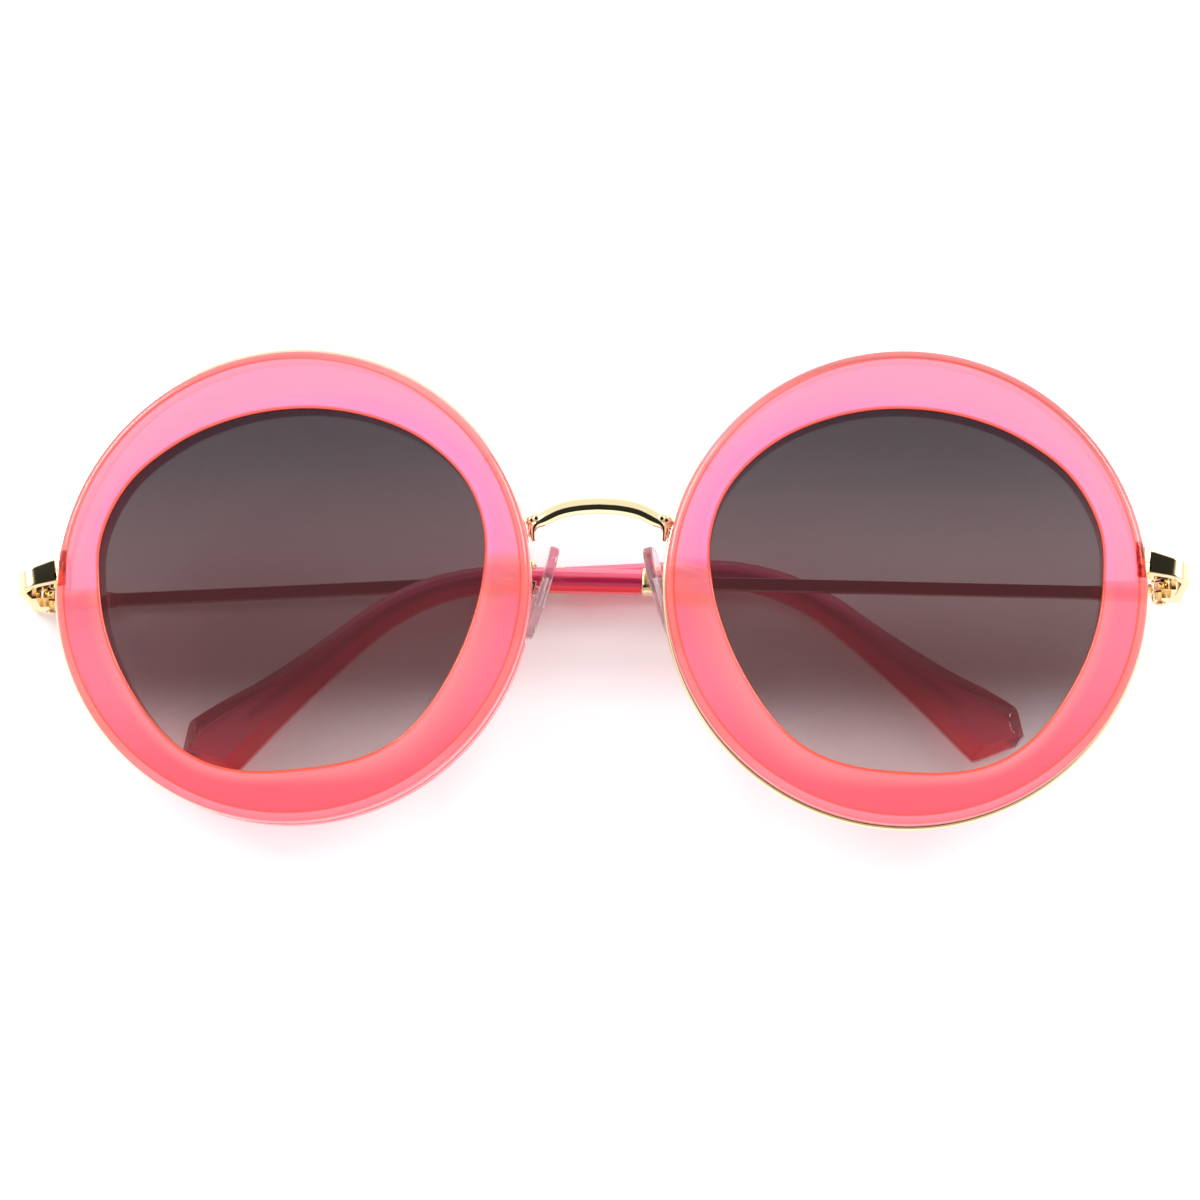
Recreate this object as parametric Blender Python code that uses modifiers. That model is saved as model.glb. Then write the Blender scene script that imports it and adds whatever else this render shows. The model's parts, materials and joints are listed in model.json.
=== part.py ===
"""Round oversize sunglasses with thick plastic rims set in wire eyewires, lying folded on a table, front up.

Everything is modelled in the frame of the spectacle front: X to the viewer's right, Y up the front, Z forward
out of the lenses. One side is described once, for the wearer's left, and built again mirrored for the right.
At the end the folded spectacles are laid on the facet of their hull that carries their weight.
"""
import math

import bmesh
import bpy
from mathutils import Matrix, Vector

# Spectacle front
RIM_RADIUS = 0.0308
RIM_GAP = 0.0170
RIM_DEPTH = 0.0054
FACE_FORM_DEG = 2.5
TURN_DEG = 1.3
RIM_STEPS = 60

# Plastic rim section
FRONT_EDGE_ROUND = 0.0011
BACK_EDGE_ROUND = 0.0007
OPENING_EDGE_ROUND = 0.0004
FRONT_CROWN = 0.0005
OPENING_SHARES = (
    (0, 0.812), (15, 0.835), (32, 0.826), (50, 0.787), (70, 0.755), (90, 0.748), (112, 0.770), (135, 0.817),
    (152, 0.842), (166, 0.831), (180, 0.798), (195, 0.772), (212, 0.767), (238, 0.795), (268, 0.778),
    (298, 0.824), (330, 0.798),
)

# Lens and its groove
LENS_THICKNESS = 0.0018
LENS_TONGUE_THICKNESS = 0.0010
LENS_TONGUE_DEPTH = 0.0008
LENS_CURVE_RADIUS = 0.260
LENS_FORWARD = 0.0009
LENS_RING_SHARES = (0.35, 0.70)

# Eyewire and closing block
EYEWIRE_RADIUS = 0.00060
EYEWIRE_PROUD = 0.00040
EYEWIRE_STEPS = 54
BLOCK_HEIGHT = 0.0040
BLOCK_WIDTH = 0.0018
BLOCK_FRONT = 0.0008
BLOCK_BACK = 0.0023
BLOCK_RAISE = 0.0029
BLOCK_PROUD = 0.0006
CLOSING_SCREW_RADIUS = 0.00045
CLOSING_SCREW_BACK = 0.0014
SCREW_HEAD_HEIGHT = 0.00045
SCREW_CROWN_SHARE = 0.8
SCREW_SLOT_WIDTH = 0.00022

# Nasal relief in the back of the rim, as angles about the rim centre from the temporal side
RELIEF_DEPTH = 0.0017
RELIEF_START_DEG = 147
RELIEF_END_DEG = 195

# Bridge: half of its centre line, and the half height and half depth of the bar at each point
BRIDGE_POINTS = (
    (0.0, 0.01020, 0.00086, 0.00100),
    (0.0026, 0.01002, 0.00086, 0.00100),
    (0.0050, 0.00956, 0.00086, 0.00098),
    (0.0070, 0.00882, 0.00080, 0.00090),
    (0.0082, 0.00805, 0.00055, 0.00078),
    (0.0085, 0.00710, 0.00042, 0.00068),
    (0.0084, 0.00590, 0.00024, 0.00055),
)
BRIDGE_STEPS = 5

# End piece, a bent strap
END_PIECE_REACH = 0.0044
STRAP_THICKNESS = 0.0011
STRAP_HEIGHT = 0.0026
STRAP_BEND_RADIUS = 0.0017
STRAP_BEND_STEPS = 6
STRAP_RAISE = 0.0031
STRAP_FALL = 0.0011
LEG_LENGTH = 0.0098
CORNER_CHAMFER = 0.00018

# Hinge
HINGE_PITCH_DEG = 8.0
HINGE_FROM_LEG_END = 0.0023
BARREL_RADIUS = 0.0012
BARREL_STANDOFF = 0.00175
BARREL_HEIGHT = 0.0040
HINGE_SCREW_RADIUS = 0.00050
HINGE_SCREW_OVERHANG = 0.0003
LEAF_THICKNESS = 0.00055
LEAF_LENGTH = 0.0050
ROUND_STEPS = 16

# Temple bar
BAR_LENGTH = 0.0647
BAR_THICKNESS = 0.0010
BAR_HEIGHT = 0.0017
BAR_HINGE_HEIGHT = 0.0026
BAR_TAPER_START = 0.0065
BAR_TAPER_END = 0.0135
BAR_RISE_DEG = 2.5
CORE_HEIGHT = 0.0013
CORE_THICKNESS = 0.0008
CORE_END_SHARE = 0.70

# Temple tip: a straight sleeve, a bend over the ear and a widening paddle
TIP_STRAIGHT = 0.0170
TIP_BEND_RADIUS = 0.0285
TIP_BEND_DEG = 41.7
TIP_DROP_LENGTH = 0.0274
TIP_HEIGHT = 0.0032
TIP_THICKNESS = 0.0028
PADDLE_HEIGHT = 0.0092
PADDLE_THICKNESS = 0.0034
# Along the tip: its place, then upper half height, lower half height, thickness and bevel as shares
TIP_SECTION_SHARES = (
    (0.00, 0.00, 0.00, 0.00, 0.00),
    (0.22, 0.02, 0.02, 0.00, 0.00),
    (0.42, 0.09, 0.10, 0.10, 0.05),
    (0.58, 0.15, 0.20, 0.25, 0.15),
    (0.70, 0.29, 0.36, 0.50, 0.35),
    (0.80, 0.52, 0.58, 0.80, 0.65),
    (0.88, 0.84, 0.82, 1.00, 0.90),
    (0.94, 1.00, 1.00, 1.00, 1.00),
    (0.958, 0.95, 0.88, 0.95, 1.00),
    (0.985, 0.48, -0.16, 0.60, 0.70),
    (1.00, 0.22, -0.72, 0.10, 0.40),
)
BEVEL_LIMIT_SHARE = 0.8
TIP_STEPS = 3
CORE_STEPS = 14
PADDLE_BEVEL_HEIGHT = 0.0023
PADDLE_BEVEL_DEPTH = 0.0011
TIP_BEVEL = 0.0009
FERRULE_LENGTH = 0.0016
FERRULE_WALL = 0.00012

# Nose pad, its box, screw and arm
PAD_LENGTH = 0.0136
PAD_WIDTH = 0.0072
PAD_THICKNESS = 0.0016
PAD_PIVOT = (0.0098, 0.0009, -0.0054)
PAD_LEAN_DEG = 16
PAD_SPLAY_DEG = 8
PAD_OFFSET = 0.0023
PAD_BOSS_WIDTH = 0.0014
PAD_BOSS_HEIGHT = 0.0013
BOX_WALL = 0.00045
BOX_HEIGHT = 0.0021
BOX_REACH = 0.0011
BOX_BACK = 0.0014
PAD_SCREW_RADIUS = 0.00035
PAD_ARM_RADIUS = 0.00045
PAD_ARM_STEPS = 4
PAD_ARM_POINTS = (
    (0.0085, 0.0029, -0.0004),
    (0.0089, 0.0032, -0.0019),
    (0.0102, 0.0034, -0.0037),
    (0.0121, 0.0030, -0.0051),
    (0.0129, 0.0020, -0.0057),
)
PAD_ARM_LEAD = 0.0008

# Folding: how far each folded temple stands back from straight across
LEFT_FOLD_SHORT_DEG = -0.3
RIGHT_FOLD_SHORT_DEG = 2.8

# Fits
FIT_GAP = 0.00010
KNUCKLE_GAP = 0.00015
BUTT_GAP = 0.0003
OVERRUN = 0.0010
WELD_SHARE = 0.01

DENSITY = {"pink_plastic": 1280, "tinted_lens": 1200, "gold_metal": 8100, "pink_tip": 1280, "clear_pad": 1100}


# Scene and materials

def clear_scene():
    for item in list(bpy.data.objects):
        bpy.data.objects.remove(item, do_unlink=True)


def make_collection(name):
    collection = bpy.data.collections.new(name)
    bpy.context.scene.collection.children.link(collection)
    return collection


def make_material(name, colour, roughness, metallic):
    material = bpy.data.materials.new(name)
    material.use_nodes = True
    shader = material.node_tree.nodes["Principled BSDF"]
    shader.inputs["Base Color"].default_value = (*colour, 1)
    shader.inputs["Roughness"].default_value = roughness
    shader.inputs["Metallic"].default_value = metallic
    return material


def pink_plastic():
    return make_material("pink_plastic", (1.0, 0.28, 0.42), 0.12, 0)


def tinted_lens():
    return make_material("tinted_lens", (0.10, 0.07, 0.08), 0.05, 0)


def gold_metal():
    return make_material("gold_metal", (0.86, 0.74, 0.48), 0.14, 1)


def pink_tip():
    return make_material("pink_tip", (0.80, 0.07, 0.16), 0.12, 0)


def clear_pad():
    return make_material("clear_pad", (0.88, 0.84, 0.84), 0.10, 0)


# Building helpers

def add_object(name, mesh, collection, parent, material=None):
    item = bpy.data.objects.new(name, mesh)
    collection.objects.link(item)
    item.parent = parent
    if material is not None:
        mesh.materials.append(material)
    return item


def add_empty(name, parent, location=(0, 0, 0), rotation=None, scale=(1, 1, 1)):
    empty = bpy.data.objects.new(name, None)
    bpy.context.scene.collection.objects.link(empty)
    empty.parent = parent
    turn = Matrix.Identity(4) if rotation is None else rotation.to_4x4()
    empty.matrix_basis = Matrix.Translation(location) @ turn @ Matrix.Diagonal((*scale, 1))
    return empty


def finish_mesh(work, name, smooth_angle_deg=35):
    bmesh.ops.recalc_face_normals(work, faces=work.faces)
    mesh = bpy.data.meshes.new(name)
    work.to_mesh(mesh)
    work.free()
    mesh.shade_smooth()
    mesh.set_sharp_from_angle(angle=math.radians(smooth_angle_deg))
    return mesh


def loft_mesh(name, loops, ring=False):
    """Skins closed loops of points; a ring joins its last loop to its first, otherwise the ends are capped."""
    work = bmesh.new()
    rows = [[work.verts.new(point) for point in loop] for loop in loops]
    count = len(rows[0])
    pairs = list(zip(rows, rows[1:]))
    if ring:
        pairs.append((rows[-1], rows[0]))
    for row, following in pairs:
        for index in range(count):
            after = (index + 1) % count
            work.faces.new((row[index], row[after], following[after], following[index]))
    if not ring:
        work.faces.new(rows[0])
        work.faces.new(rows[-1])
    return finish_mesh(work, name)


def box_mesh(name, low, high):
    work = bmesh.new()
    bmesh.ops.create_cube(work, size=1)
    for vertex in work.verts:
        vertex.co = Vector([low[axis] + (vertex.co[axis] + 0.5) * (high[axis] - low[axis]) for axis in range(3)])
    return finish_mesh(work, name)


def cylinder_mesh(name, radius, low, high, axis="Y", radius_high=None):
    """A cylinder or cone along an axis, between two heights on it."""
    work = bmesh.new()
    bmesh.ops.create_cone(work, cap_ends=True, segments=ROUND_STEPS, radius1=radius,
                          radius2=radius if radius_high is None else radius_high, depth=high - low)
    bmesh.ops.translate(work, verts=work.verts, vec=(0, 0, (low + high) / 2))
    if axis == "Y":
        bmesh.ops.rotate(work, verts=work.verts, matrix=Matrix.Rotation(math.radians(-90), 3, "X"))
    return finish_mesh(work, name)


def boolean(target, tool, operation):
    modifier = target.modifiers.new(tool.name, "BOOLEAN")
    modifier.operation = operation
    modifier.solver = "EXACT"
    modifier.object = tool


def make_tool(name, mesh, parent):
    """A solid that only cuts or is joined to another."""
    tool = add_object(name, mesh, COLLECTIONS["cutters"], parent)
    tool.hide_render = True
    tool.display_type = "WIRE"
    return tool


def cut(target, name, mesh):
    boolean(target, make_tool(name, mesh, target.parent), "DIFFERENCE")


def join(target, name, mesh):
    boolean(target, make_tool(name, mesh, target.parent), "UNION")


def wire_mesh(name, points, radius, sides_resolution=2):
    """A round wire with filled caps along a poly line, as a closed mesh."""
    curve = bpy.data.curves.new(name, "CURVE")
    curve.dimensions = "3D"
    curve.bevel_depth = radius
    curve.bevel_resolution = sides_resolution
    curve.use_fill_caps = True
    spline = curve.splines.new("POLY")
    spline.points.add(len(points) - 1)
    for target, point in zip(spline.points, points):
        target.co = (*point, 1)
    guide = bpy.data.objects.new(name, curve)
    bpy.context.scene.collection.objects.link(guide)
    bpy.context.view_layer.update()
    evaluated = guide.evaluated_get(bpy.context.evaluated_depsgraph_get())
    raw = bpy.data.meshes.new_from_object(evaluated)
    work = bmesh.new()
    work.from_mesh(raw)
    bmesh.ops.remove_doubles(work, verts=work.verts, dist=radius * WELD_SHARE)
    bpy.data.objects.remove(guide, do_unlink=True)
    return finish_mesh(work, name, smooth_angle_deg=50)


def smooth_line(points, steps):
    """A smooth line through rows of numbers, with the given steps between neighbours."""
    line = []
    for index in range(len(points) - 1):
        before = points[max(index - 1, 0)]
        start = points[index]
        end = points[index + 1]
        after = points[min(index + 2, len(points) - 1)]
        for step in range(steps):
            line.append(hermite_row(before, start, end, after, step / steps))
    line.append(tuple(points[-1]))
    return line


def hermite_row(before, start, end, after, share):
    square, cube = share ** 2, share ** 3
    row = []
    for p0, p1, p2, p3 in zip(before, start, end, after):
        slope_in, slope_out = (p2 - p0) / 2, (p3 - p1) / 2
        row.append((2 * cube - 3 * square + 1) * p1 + (cube - 2 * square + share) * slope_in
                   + (3 * square - 2 * cube) * p2 + (cube - square) * slope_out)
    return tuple(row)


def opening_share(angle_deg):
    """The opening's radius at an angle from the temporal side, as a share of the rim's outer radius."""
    count = len(OPENING_SHARES)
    angle_deg %= 360
    index = max(place for place in range(count) if OPENING_SHARES[place][0] <= angle_deg)
    keys = []
    for offset in (-1, 0, 1, 2):
        turn, place = divmod(index + offset, count)
        keys.append((OPENING_SHARES[place][0] + 360 * turn, OPENING_SHARES[place][1]))
    (a0, s0), (a1, s1), (a2, s2), (a3, s3) = keys
    span = a2 - a1
    share = (angle_deg - a1) / span
    slope_in = (s2 - s0) / (a2 - a0) * span
    slope_out = (s3 - s1) / (a3 - a1) * span
    square, cube = share ** 2, share ** 3
    return ((2 * cube - 3 * square + 1) * s1 + (cube - 2 * square + share) * slope_in
            + (3 * square - 2 * cube) * s2 + (cube - square) * slope_out)


def polar(radius, angle_deg, depth=0.0):
    angle = math.radians(angle_deg)
    return Vector((radius * math.cos(angle), radius * math.sin(angle), depth))


def bevelled_section(up, down, half_width, bevel_height, bevel_width):
    """Eight corners of a bar section: sideways, then upwards, with its corners taken off."""
    return (
        (half_width, up - bevel_height), (half_width - bevel_width, up),
        (bevel_width - half_width, up), (-half_width, up - bevel_height),
        (-half_width, bevel_height - down), (bevel_width - half_width, -down),
        (half_width - bevel_width, -down), (half_width, bevel_height - down),
    )


def place_section(section, centre, sideways, upwards):
    return [centre + sideways * across + upwards * along for across, along in section]


# Places shared by several pieces

def eyewire_centre_radius():
    return RIM_RADIUS + EYEWIRE_PROUD - EYEWIRE_RADIUS


def block_outer_face():
    return RIM_RADIUS + BLOCK_PROUD


def block_bottom():
    return BLOCK_RAISE - BLOCK_HEIGHT / 2


def block_top():
    return BLOCK_RAISE + BLOCK_HEIGHT / 2


def rim_side():
    """How far the rim's centre lies from the middle of the front."""
    return RIM_GAP / 2 + RIM_RADIUS


def rim_turn():
    return Matrix.Rotation(math.radians(FACE_FORM_DEG), 3, "Y")


def rim_to_front(point):
    """A point of the rim's own frame, in the frame of the front."""
    return Vector((rim_side(), 0, 0)) + rim_turn() @ Vector(point)


def strap_start():
    return rim_to_front((block_outer_face() + FIT_GAP, STRAP_RAISE, 0))


def hinge_turn():
    return Matrix.Rotation(math.radians(-HINGE_PITCH_DEG), 3, "X")


def hinge_place():
    """The middle of the hinge pin, in the frame of the front."""
    side = strap_start().x + END_PIECE_REACH - STRAP_THICKNESS - BARREL_STANDOFF
    corner = Vector((side, STRAP_RAISE - STRAP_FALL, strap_start().z))
    reach = LEG_LENGTH - HINGE_FROM_LEG_END
    return corner + hinge_turn() @ Vector((0, 0, -reach))


def pad_turn():
    lean = Matrix.Rotation(math.radians(PAD_LEAN_DEG), 3, "Z")
    return lean @ Matrix.Rotation(math.radians(-PAD_SPLAY_DEG), 3, "Y")


# Rim, lens and eyewire, in the rim's own frame

def rim_section(inner):
    """The rim's section at one angle: radius and depth, from the opening's front edge round the outside."""
    outer = RIM_RADIUS
    front = RIM_DEPTH / 2
    width = outer - inner
    opening_front = front - FRONT_CROWN
    groove_floor = eyewire_centre_radius() - EYEWIRE_RADIUS - FIT_GAP
    groove_half = EYEWIRE_RADIUS + FIT_GAP
    tongue_half = LENS_TONGUE_THICKNESS / 2 + FIT_GAP
    seat = inner + LENS_TONGUE_DEPTH + FIT_GAP
    crown = FRONT_CROWN / 4
    half_round = FRONT_EDGE_ROUND / 3
    return (
        (inner, opening_front - OPENING_EDGE_ROUND),
        (inner + OPENING_EDGE_ROUND, opening_front),
        (inner + width / 3, front - crown),
        (inner + width / 2, front),
        (outer - FRONT_EDGE_ROUND, front - crown),
        (outer - half_round, front - crown - half_round),
        (outer, front - crown - FRONT_EDGE_ROUND),
        (outer, groove_half),
        (groove_floor, groove_half),
        (groove_floor, -groove_half),
        (outer, -groove_half),
        (outer, BACK_EDGE_ROUND - front),
        (outer - BACK_EDGE_ROUND, -front),
        (inner + OPENING_EDGE_ROUND, -front),
        (inner, OPENING_EDGE_ROUND - front),
        (inner, LENS_FORWARD - tongue_half),
        (seat, LENS_FORWARD - tongue_half),
        (seat, LENS_FORWARD + tongue_half),
        (inner, LENS_FORWARD + tongue_half),
    )


def wedge_mesh(name, inner, outer, start_deg, end_deg, low, high, steps):
    """A slice of a flat ring, used to cut away part of a rim."""
    loops = []
    for step in range(steps + 1):
        angle = start_deg + (end_deg - start_deg) * step / steps
        loops.append([polar(inner, angle, low), polar(outer, angle, low),
                      polar(outer, angle, high), polar(inner, angle, high)])
    return loft_mesh(name, loops)


def make_rim(side, parent):
    loops = []
    for step in range(RIM_STEPS):
        angle = 360 * step / RIM_STEPS
        section = rim_section(RIM_RADIUS * opening_share(angle))
        loops.append([polar(radius, angle, depth) for radius, depth in section])
    rim = add_object(f"{side}_rim", loft_mesh(f"{side}_rim", loops, ring=True), COLLECTIONS["parts"], parent,
                     MATERIALS["pink_plastic"])
    notch_inner = block_outer_face() - BLOCK_WIDTH - FIT_GAP
    notch_margin = 2 * FIT_GAP
    cut(rim, f"{side}_block_notch", box_mesh(f"{side}_block_notch",
        (notch_inner, block_bottom() - notch_margin, -RIM_DEPTH),
        (RIM_RADIUS + OVERRUN, block_top() + notch_margin, RIM_DEPTH)))
    relief_top = -EYEWIRE_RADIUS - FIT_GAP
    cut(rim, f"{side}_nasal_relief", wedge_mesh(f"{side}_nasal_relief", RIM_RADIUS - RELIEF_DEPTH,
        RIM_RADIUS + OVERRUN, RELIEF_START_DEG, RELIEF_END_DEG, -RIM_DEPTH, relief_top, RIM_STEPS // 6))
    return rim


def lens_sag(radius):
    """How far a point of the lens lies behind its crown."""
    return LENS_CURVE_RADIUS - math.sqrt(LENS_CURVE_RADIUS ** 2 - radius ** 2)


def lens_loop(share, extra, depth):
    """A loop round the lens: a share of the opening plus an extra, at a depth that follows the lens curve."""
    rim_sag = lens_sag(RIM_RADIUS * opening_share(90))
    loop = []
    for step in range(RIM_STEPS):
        angle = 360 * step / RIM_STEPS
        radius = RIM_RADIUS * opening_share(angle) * share + extra
        rise = rim_sag - lens_sag(RIM_RADIUS * opening_share(90) * share)
        loop.append(polar(radius, angle, LENS_FORWARD + rise + depth))
    return loop


def make_lens(side, parent):
    face = LENS_THICKNESS / 2
    tongue = LENS_TONGUE_THICKNESS / 2
    back_loops = [lens_loop(share, 0, -face) for share in LENS_RING_SHARES]
    front_loops = [lens_loop(share, 0, face) for share in reversed(LENS_RING_SHARES)]
    edge_loops = [
        lens_loop(1, -FIT_GAP, -face),
        lens_loop(1, -FIT_GAP, -tongue),
        lens_loop(1, LENS_TONGUE_DEPTH, -tongue),
        lens_loop(1, LENS_TONGUE_DEPTH, tongue),
        lens_loop(1, -FIT_GAP, tongue),
        lens_loop(1, -FIT_GAP, face),
    ]
    mesh = loft_mesh(f"{side}_lens", back_loops + edge_loops + front_loops)
    return add_object(f"{side}_lens", mesh, COLLECTIONS["parts"], parent, MATERIALS["tinted_lens"])


def make_eyewire(side, parent):
    radius = eyewire_centre_radius()
    start = math.degrees(math.asin((block_top() + BUTT_GAP) / radius))
    end = 360 + math.degrees(math.asin((block_bottom() - BUTT_GAP) / radius))
    points = [polar(radius, start + (end - start) * step / EYEWIRE_STEPS) for step in range(EYEWIRE_STEPS + 1)]
    mesh = wire_mesh(f"{side}_eyewire", points, EYEWIRE_RADIUS)
    return add_object(f"{side}_eyewire", mesh, COLLECTIONS["parts"], parent, MATERIALS["gold_metal"])


def make_closing_block(side, parent):
    """The two halves that close the eyewire, and the screw that draws them together."""
    outer = block_outer_face()
    inner = outer - BLOCK_WIDTH
    split = BLOCK_RAISE
    middle = (inner + outer) / 2
    bore = CLOSING_SCREW_RADIUS + FIT_GAP
    ranges = {"upper": (split + KNUCKLE_GAP / 2, block_top()), "lower": (block_bottom(), split - KNUCKLE_GAP / 2)}
    for half_name, (low, high) in ranges.items():
        name = f"{side}_closing_block_{half_name}"
        block = add_object(name, box_mesh(name, (inner, low, -BLOCK_BACK), (outer, high, BLOCK_FRONT)),
                           COLLECTIONS["parts"], parent, MATERIALS["gold_metal"])
        hole = cylinder_mesh(f"{name}_bore", bore, block_bottom() - OVERRUN, block_top() + OVERRUN)
        hole.transform(Matrix.Translation((middle, 0, -CLOSING_SCREW_BACK)))
        cut(block, f"{name}_bore", hole)
    shank = cylinder_mesh(f"{side}_closing_screw", CLOSING_SCREW_RADIUS, block_bottom() - FIT_GAP,
                          block_top() + FIT_GAP)
    shank.transform(Matrix.Translation((middle, 0, -CLOSING_SCREW_BACK)))
    add_object(f"{side}_closing_screw", shank, COLLECTIONS["parts"], parent, MATERIALS["gold_metal"])


# Bridge, in the frame of the front

def make_bridge(parent):
    half = smooth_line(BRIDGE_POINTS, BRIDGE_STEPS)
    line = [(-x, *rest) for x, *rest in reversed(half[1:])] + half
    depth = rim_to_front((-RIM_RADIUS, 0, 0)).z
    loops = []
    for index, (x, y, half_height, half_depth) in enumerate(line):
        before = line[max(index - 1, 0)]
        after = line[min(index + 1, len(line) - 1)]
        along = Vector((after[0] - before[0], after[1] - before[1], 0)).normalized()
        upwards = Vector((-along.y, along.x, 0))
        section = bevelled_section(half_height, half_height, half_depth, half_height / 2, half_depth / 2)
        loops.append(place_section(section, Vector((x, y, depth)), Vector((0, 0, 1)), upwards))
    mesh = loft_mesh("bridge", loops)
    return add_object("bridge", mesh, COLLECTIONS["parts"], parent, MATERIALS["gold_metal"])


# End piece and front half of the hinge, in the hinge's frame: X outwards, Y along the pin, Z forward

def make_end_piece(side, parent):
    side_x = BARREL_STANDOFF + STRAP_THICKNESS / 2
    to_hinge = hinge_turn().inverted()
    start = to_hinge @ (strap_start() - hinge_place())
    corner_z = start.z
    radius = STRAP_BEND_RADIUS
    stations = [(Vector((side_x, 0, -HINGE_FROM_LEG_END)), Vector((1, 0, 0)))]
    for step in range(STRAP_BEND_STEPS + 1):
        angle = math.radians(90) * step / STRAP_BEND_STEPS
        outwards = Vector((math.cos(angle), 0, math.sin(angle)))
        centre = Vector((side_x - radius, 0, corner_z - radius)) + outwards * radius
        stations.append((centre, outwards))
    stations.append((start, Vector((0, 0, 1))))
    section = bevelled_section(STRAP_HEIGHT / 2, STRAP_HEIGHT / 2, STRAP_THICKNESS / 2, CORNER_CHAMFER,
                               CORNER_CHAMFER)
    loops = [place_section(section, centre, outwards, Vector((0, 1, 0))) for centre, outwards in stations]
    mesh = loft_mesh(f"{side}_end_piece", loops)
    return add_object(f"{side}_end_piece", mesh, COLLECTIONS["parts"], parent, MATERIALS["gold_metal"])


def knuckle_height():
    return (BARREL_HEIGHT - 2 * KNUCKLE_GAP) / 3


def make_front_hinge(side, parent):
    """Two outer knuckles on a leaf that is brazed inside the end piece."""
    name = f"{side}_front_hinge"
    half = BARREL_HEIGHT / 2
    face = BARREL_STANDOFF - FIT_GAP
    back_of_leaf = face - LEAF_THICKNESS
    reach = LEG_LENGTH - HINGE_FROM_LEG_END - STRAP_BEND_RADIUS
    leaf_start = BARREL_RADIUS + BUTT_GAP
    web_reach = leaf_start + LEAF_THICKNESS
    leaf = box_mesh(name, (back_of_leaf, -half, leaf_start), (face, half, reach))
    hinge = add_object(name, leaf, COLLECTIONS["parts"], parent, MATERIALS["gold_metal"])
    for label, low in (("lower", -half), ("upper", half - knuckle_height())):
        high = low + knuckle_height()
        join(hinge, f"{name}_{label}_web", box_mesh(f"{name}_{label}_web", (0, low, 0), (face, high, web_reach)))
        join(hinge, f"{name}_{label}_knuckle",
             cylinder_mesh(f"{name}_{label}_knuckle", BARREL_RADIUS, low, high))
    cut(hinge, f"{name}_bore", cylinder_mesh(f"{name}_bore", HINGE_SCREW_RADIUS + FIT_GAP, -half - OVERRUN,
                                             half + OVERRUN))
    return hinge


def make_hinge_screw(side, parent):
    name = f"{side}_hinge_screw"
    half = BARREL_HEIGHT / 2
    head_radius = BARREL_RADIUS - FIT_GAP
    head_low = half + FIT_GAP
    head_high = head_low + SCREW_HEAD_HEIGHT
    shank = cylinder_mesh(name, HINGE_SCREW_RADIUS, -half - HINGE_SCREW_OVERHANG, head_low + SCREW_HEAD_HEIGHT / 2)
    screw = add_object(name, shank, COLLECTIONS["parts"], parent, MATERIALS["gold_metal"])
    join(screw, f"{name}_head", cylinder_mesh(f"{name}_head", head_radius, head_low, head_high,
                                              radius_high=head_radius * SCREW_CROWN_SHARE))
    slot_half = SCREW_SLOT_WIDTH / 2
    cut(screw, f"{name}_slot", box_mesh(f"{name}_slot", (-BARREL_RADIUS, head_high - SCREW_SLOT_WIDTH, -slot_half),
                                        (BARREL_RADIUS, head_high + OVERRUN, slot_half)))
    return screw


# Temple, in the hinge's frame with the temple open: X outwards, Y along the pin, Z forward

def bar_start():
    return HINGE_FROM_LEG_END + BUTT_GAP


def bar_side():
    return BARREL_STANDOFF + STRAP_THICKNESS - BAR_THICKNESS / 2


def rise_direction():
    angle = math.radians(BAR_RISE_DEG)
    return Vector((0, math.sin(angle), -math.cos(angle)))


def bar_point(distance):
    """A point on the temple's centre line, by its distance behind the hinge pin."""
    return Vector((bar_side(), 0, 0)) + rise_direction() * distance


def tip_bend_length():
    return TIP_BEND_RADIUS * math.radians(TIP_BEND_DEG)


def tip_length():
    return TIP_STRAIGHT + tip_bend_length() + TIP_DROP_LENGTH


def tip_point(distance):
    """Centre and upward direction of the tip, by its distance behind the ferrule."""
    start = bar_point(bar_start() + BAR_LENGTH)
    rise = math.radians(BAR_RISE_DEG)
    bent = min(max(distance - TIP_STRAIGHT, 0), tip_bend_length())
    straight = min(distance, TIP_STRAIGHT)
    dropped = max(distance - TIP_STRAIGHT - tip_bend_length(), 0)
    bend = bent / TIP_BEND_RADIUS
    run = straight + TIP_BEND_RADIUS * math.sin(bend) + dropped * math.cos(bend)
    fall = TIP_BEND_RADIUS * (1 - math.cos(bend)) + dropped * math.sin(bend)
    forward = rise_direction()
    up = Vector((0, math.cos(rise), math.sin(rise)))
    upwards = up * math.cos(bend) + forward * math.sin(bend)
    return start + forward * run - up * fall, upwards


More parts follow.
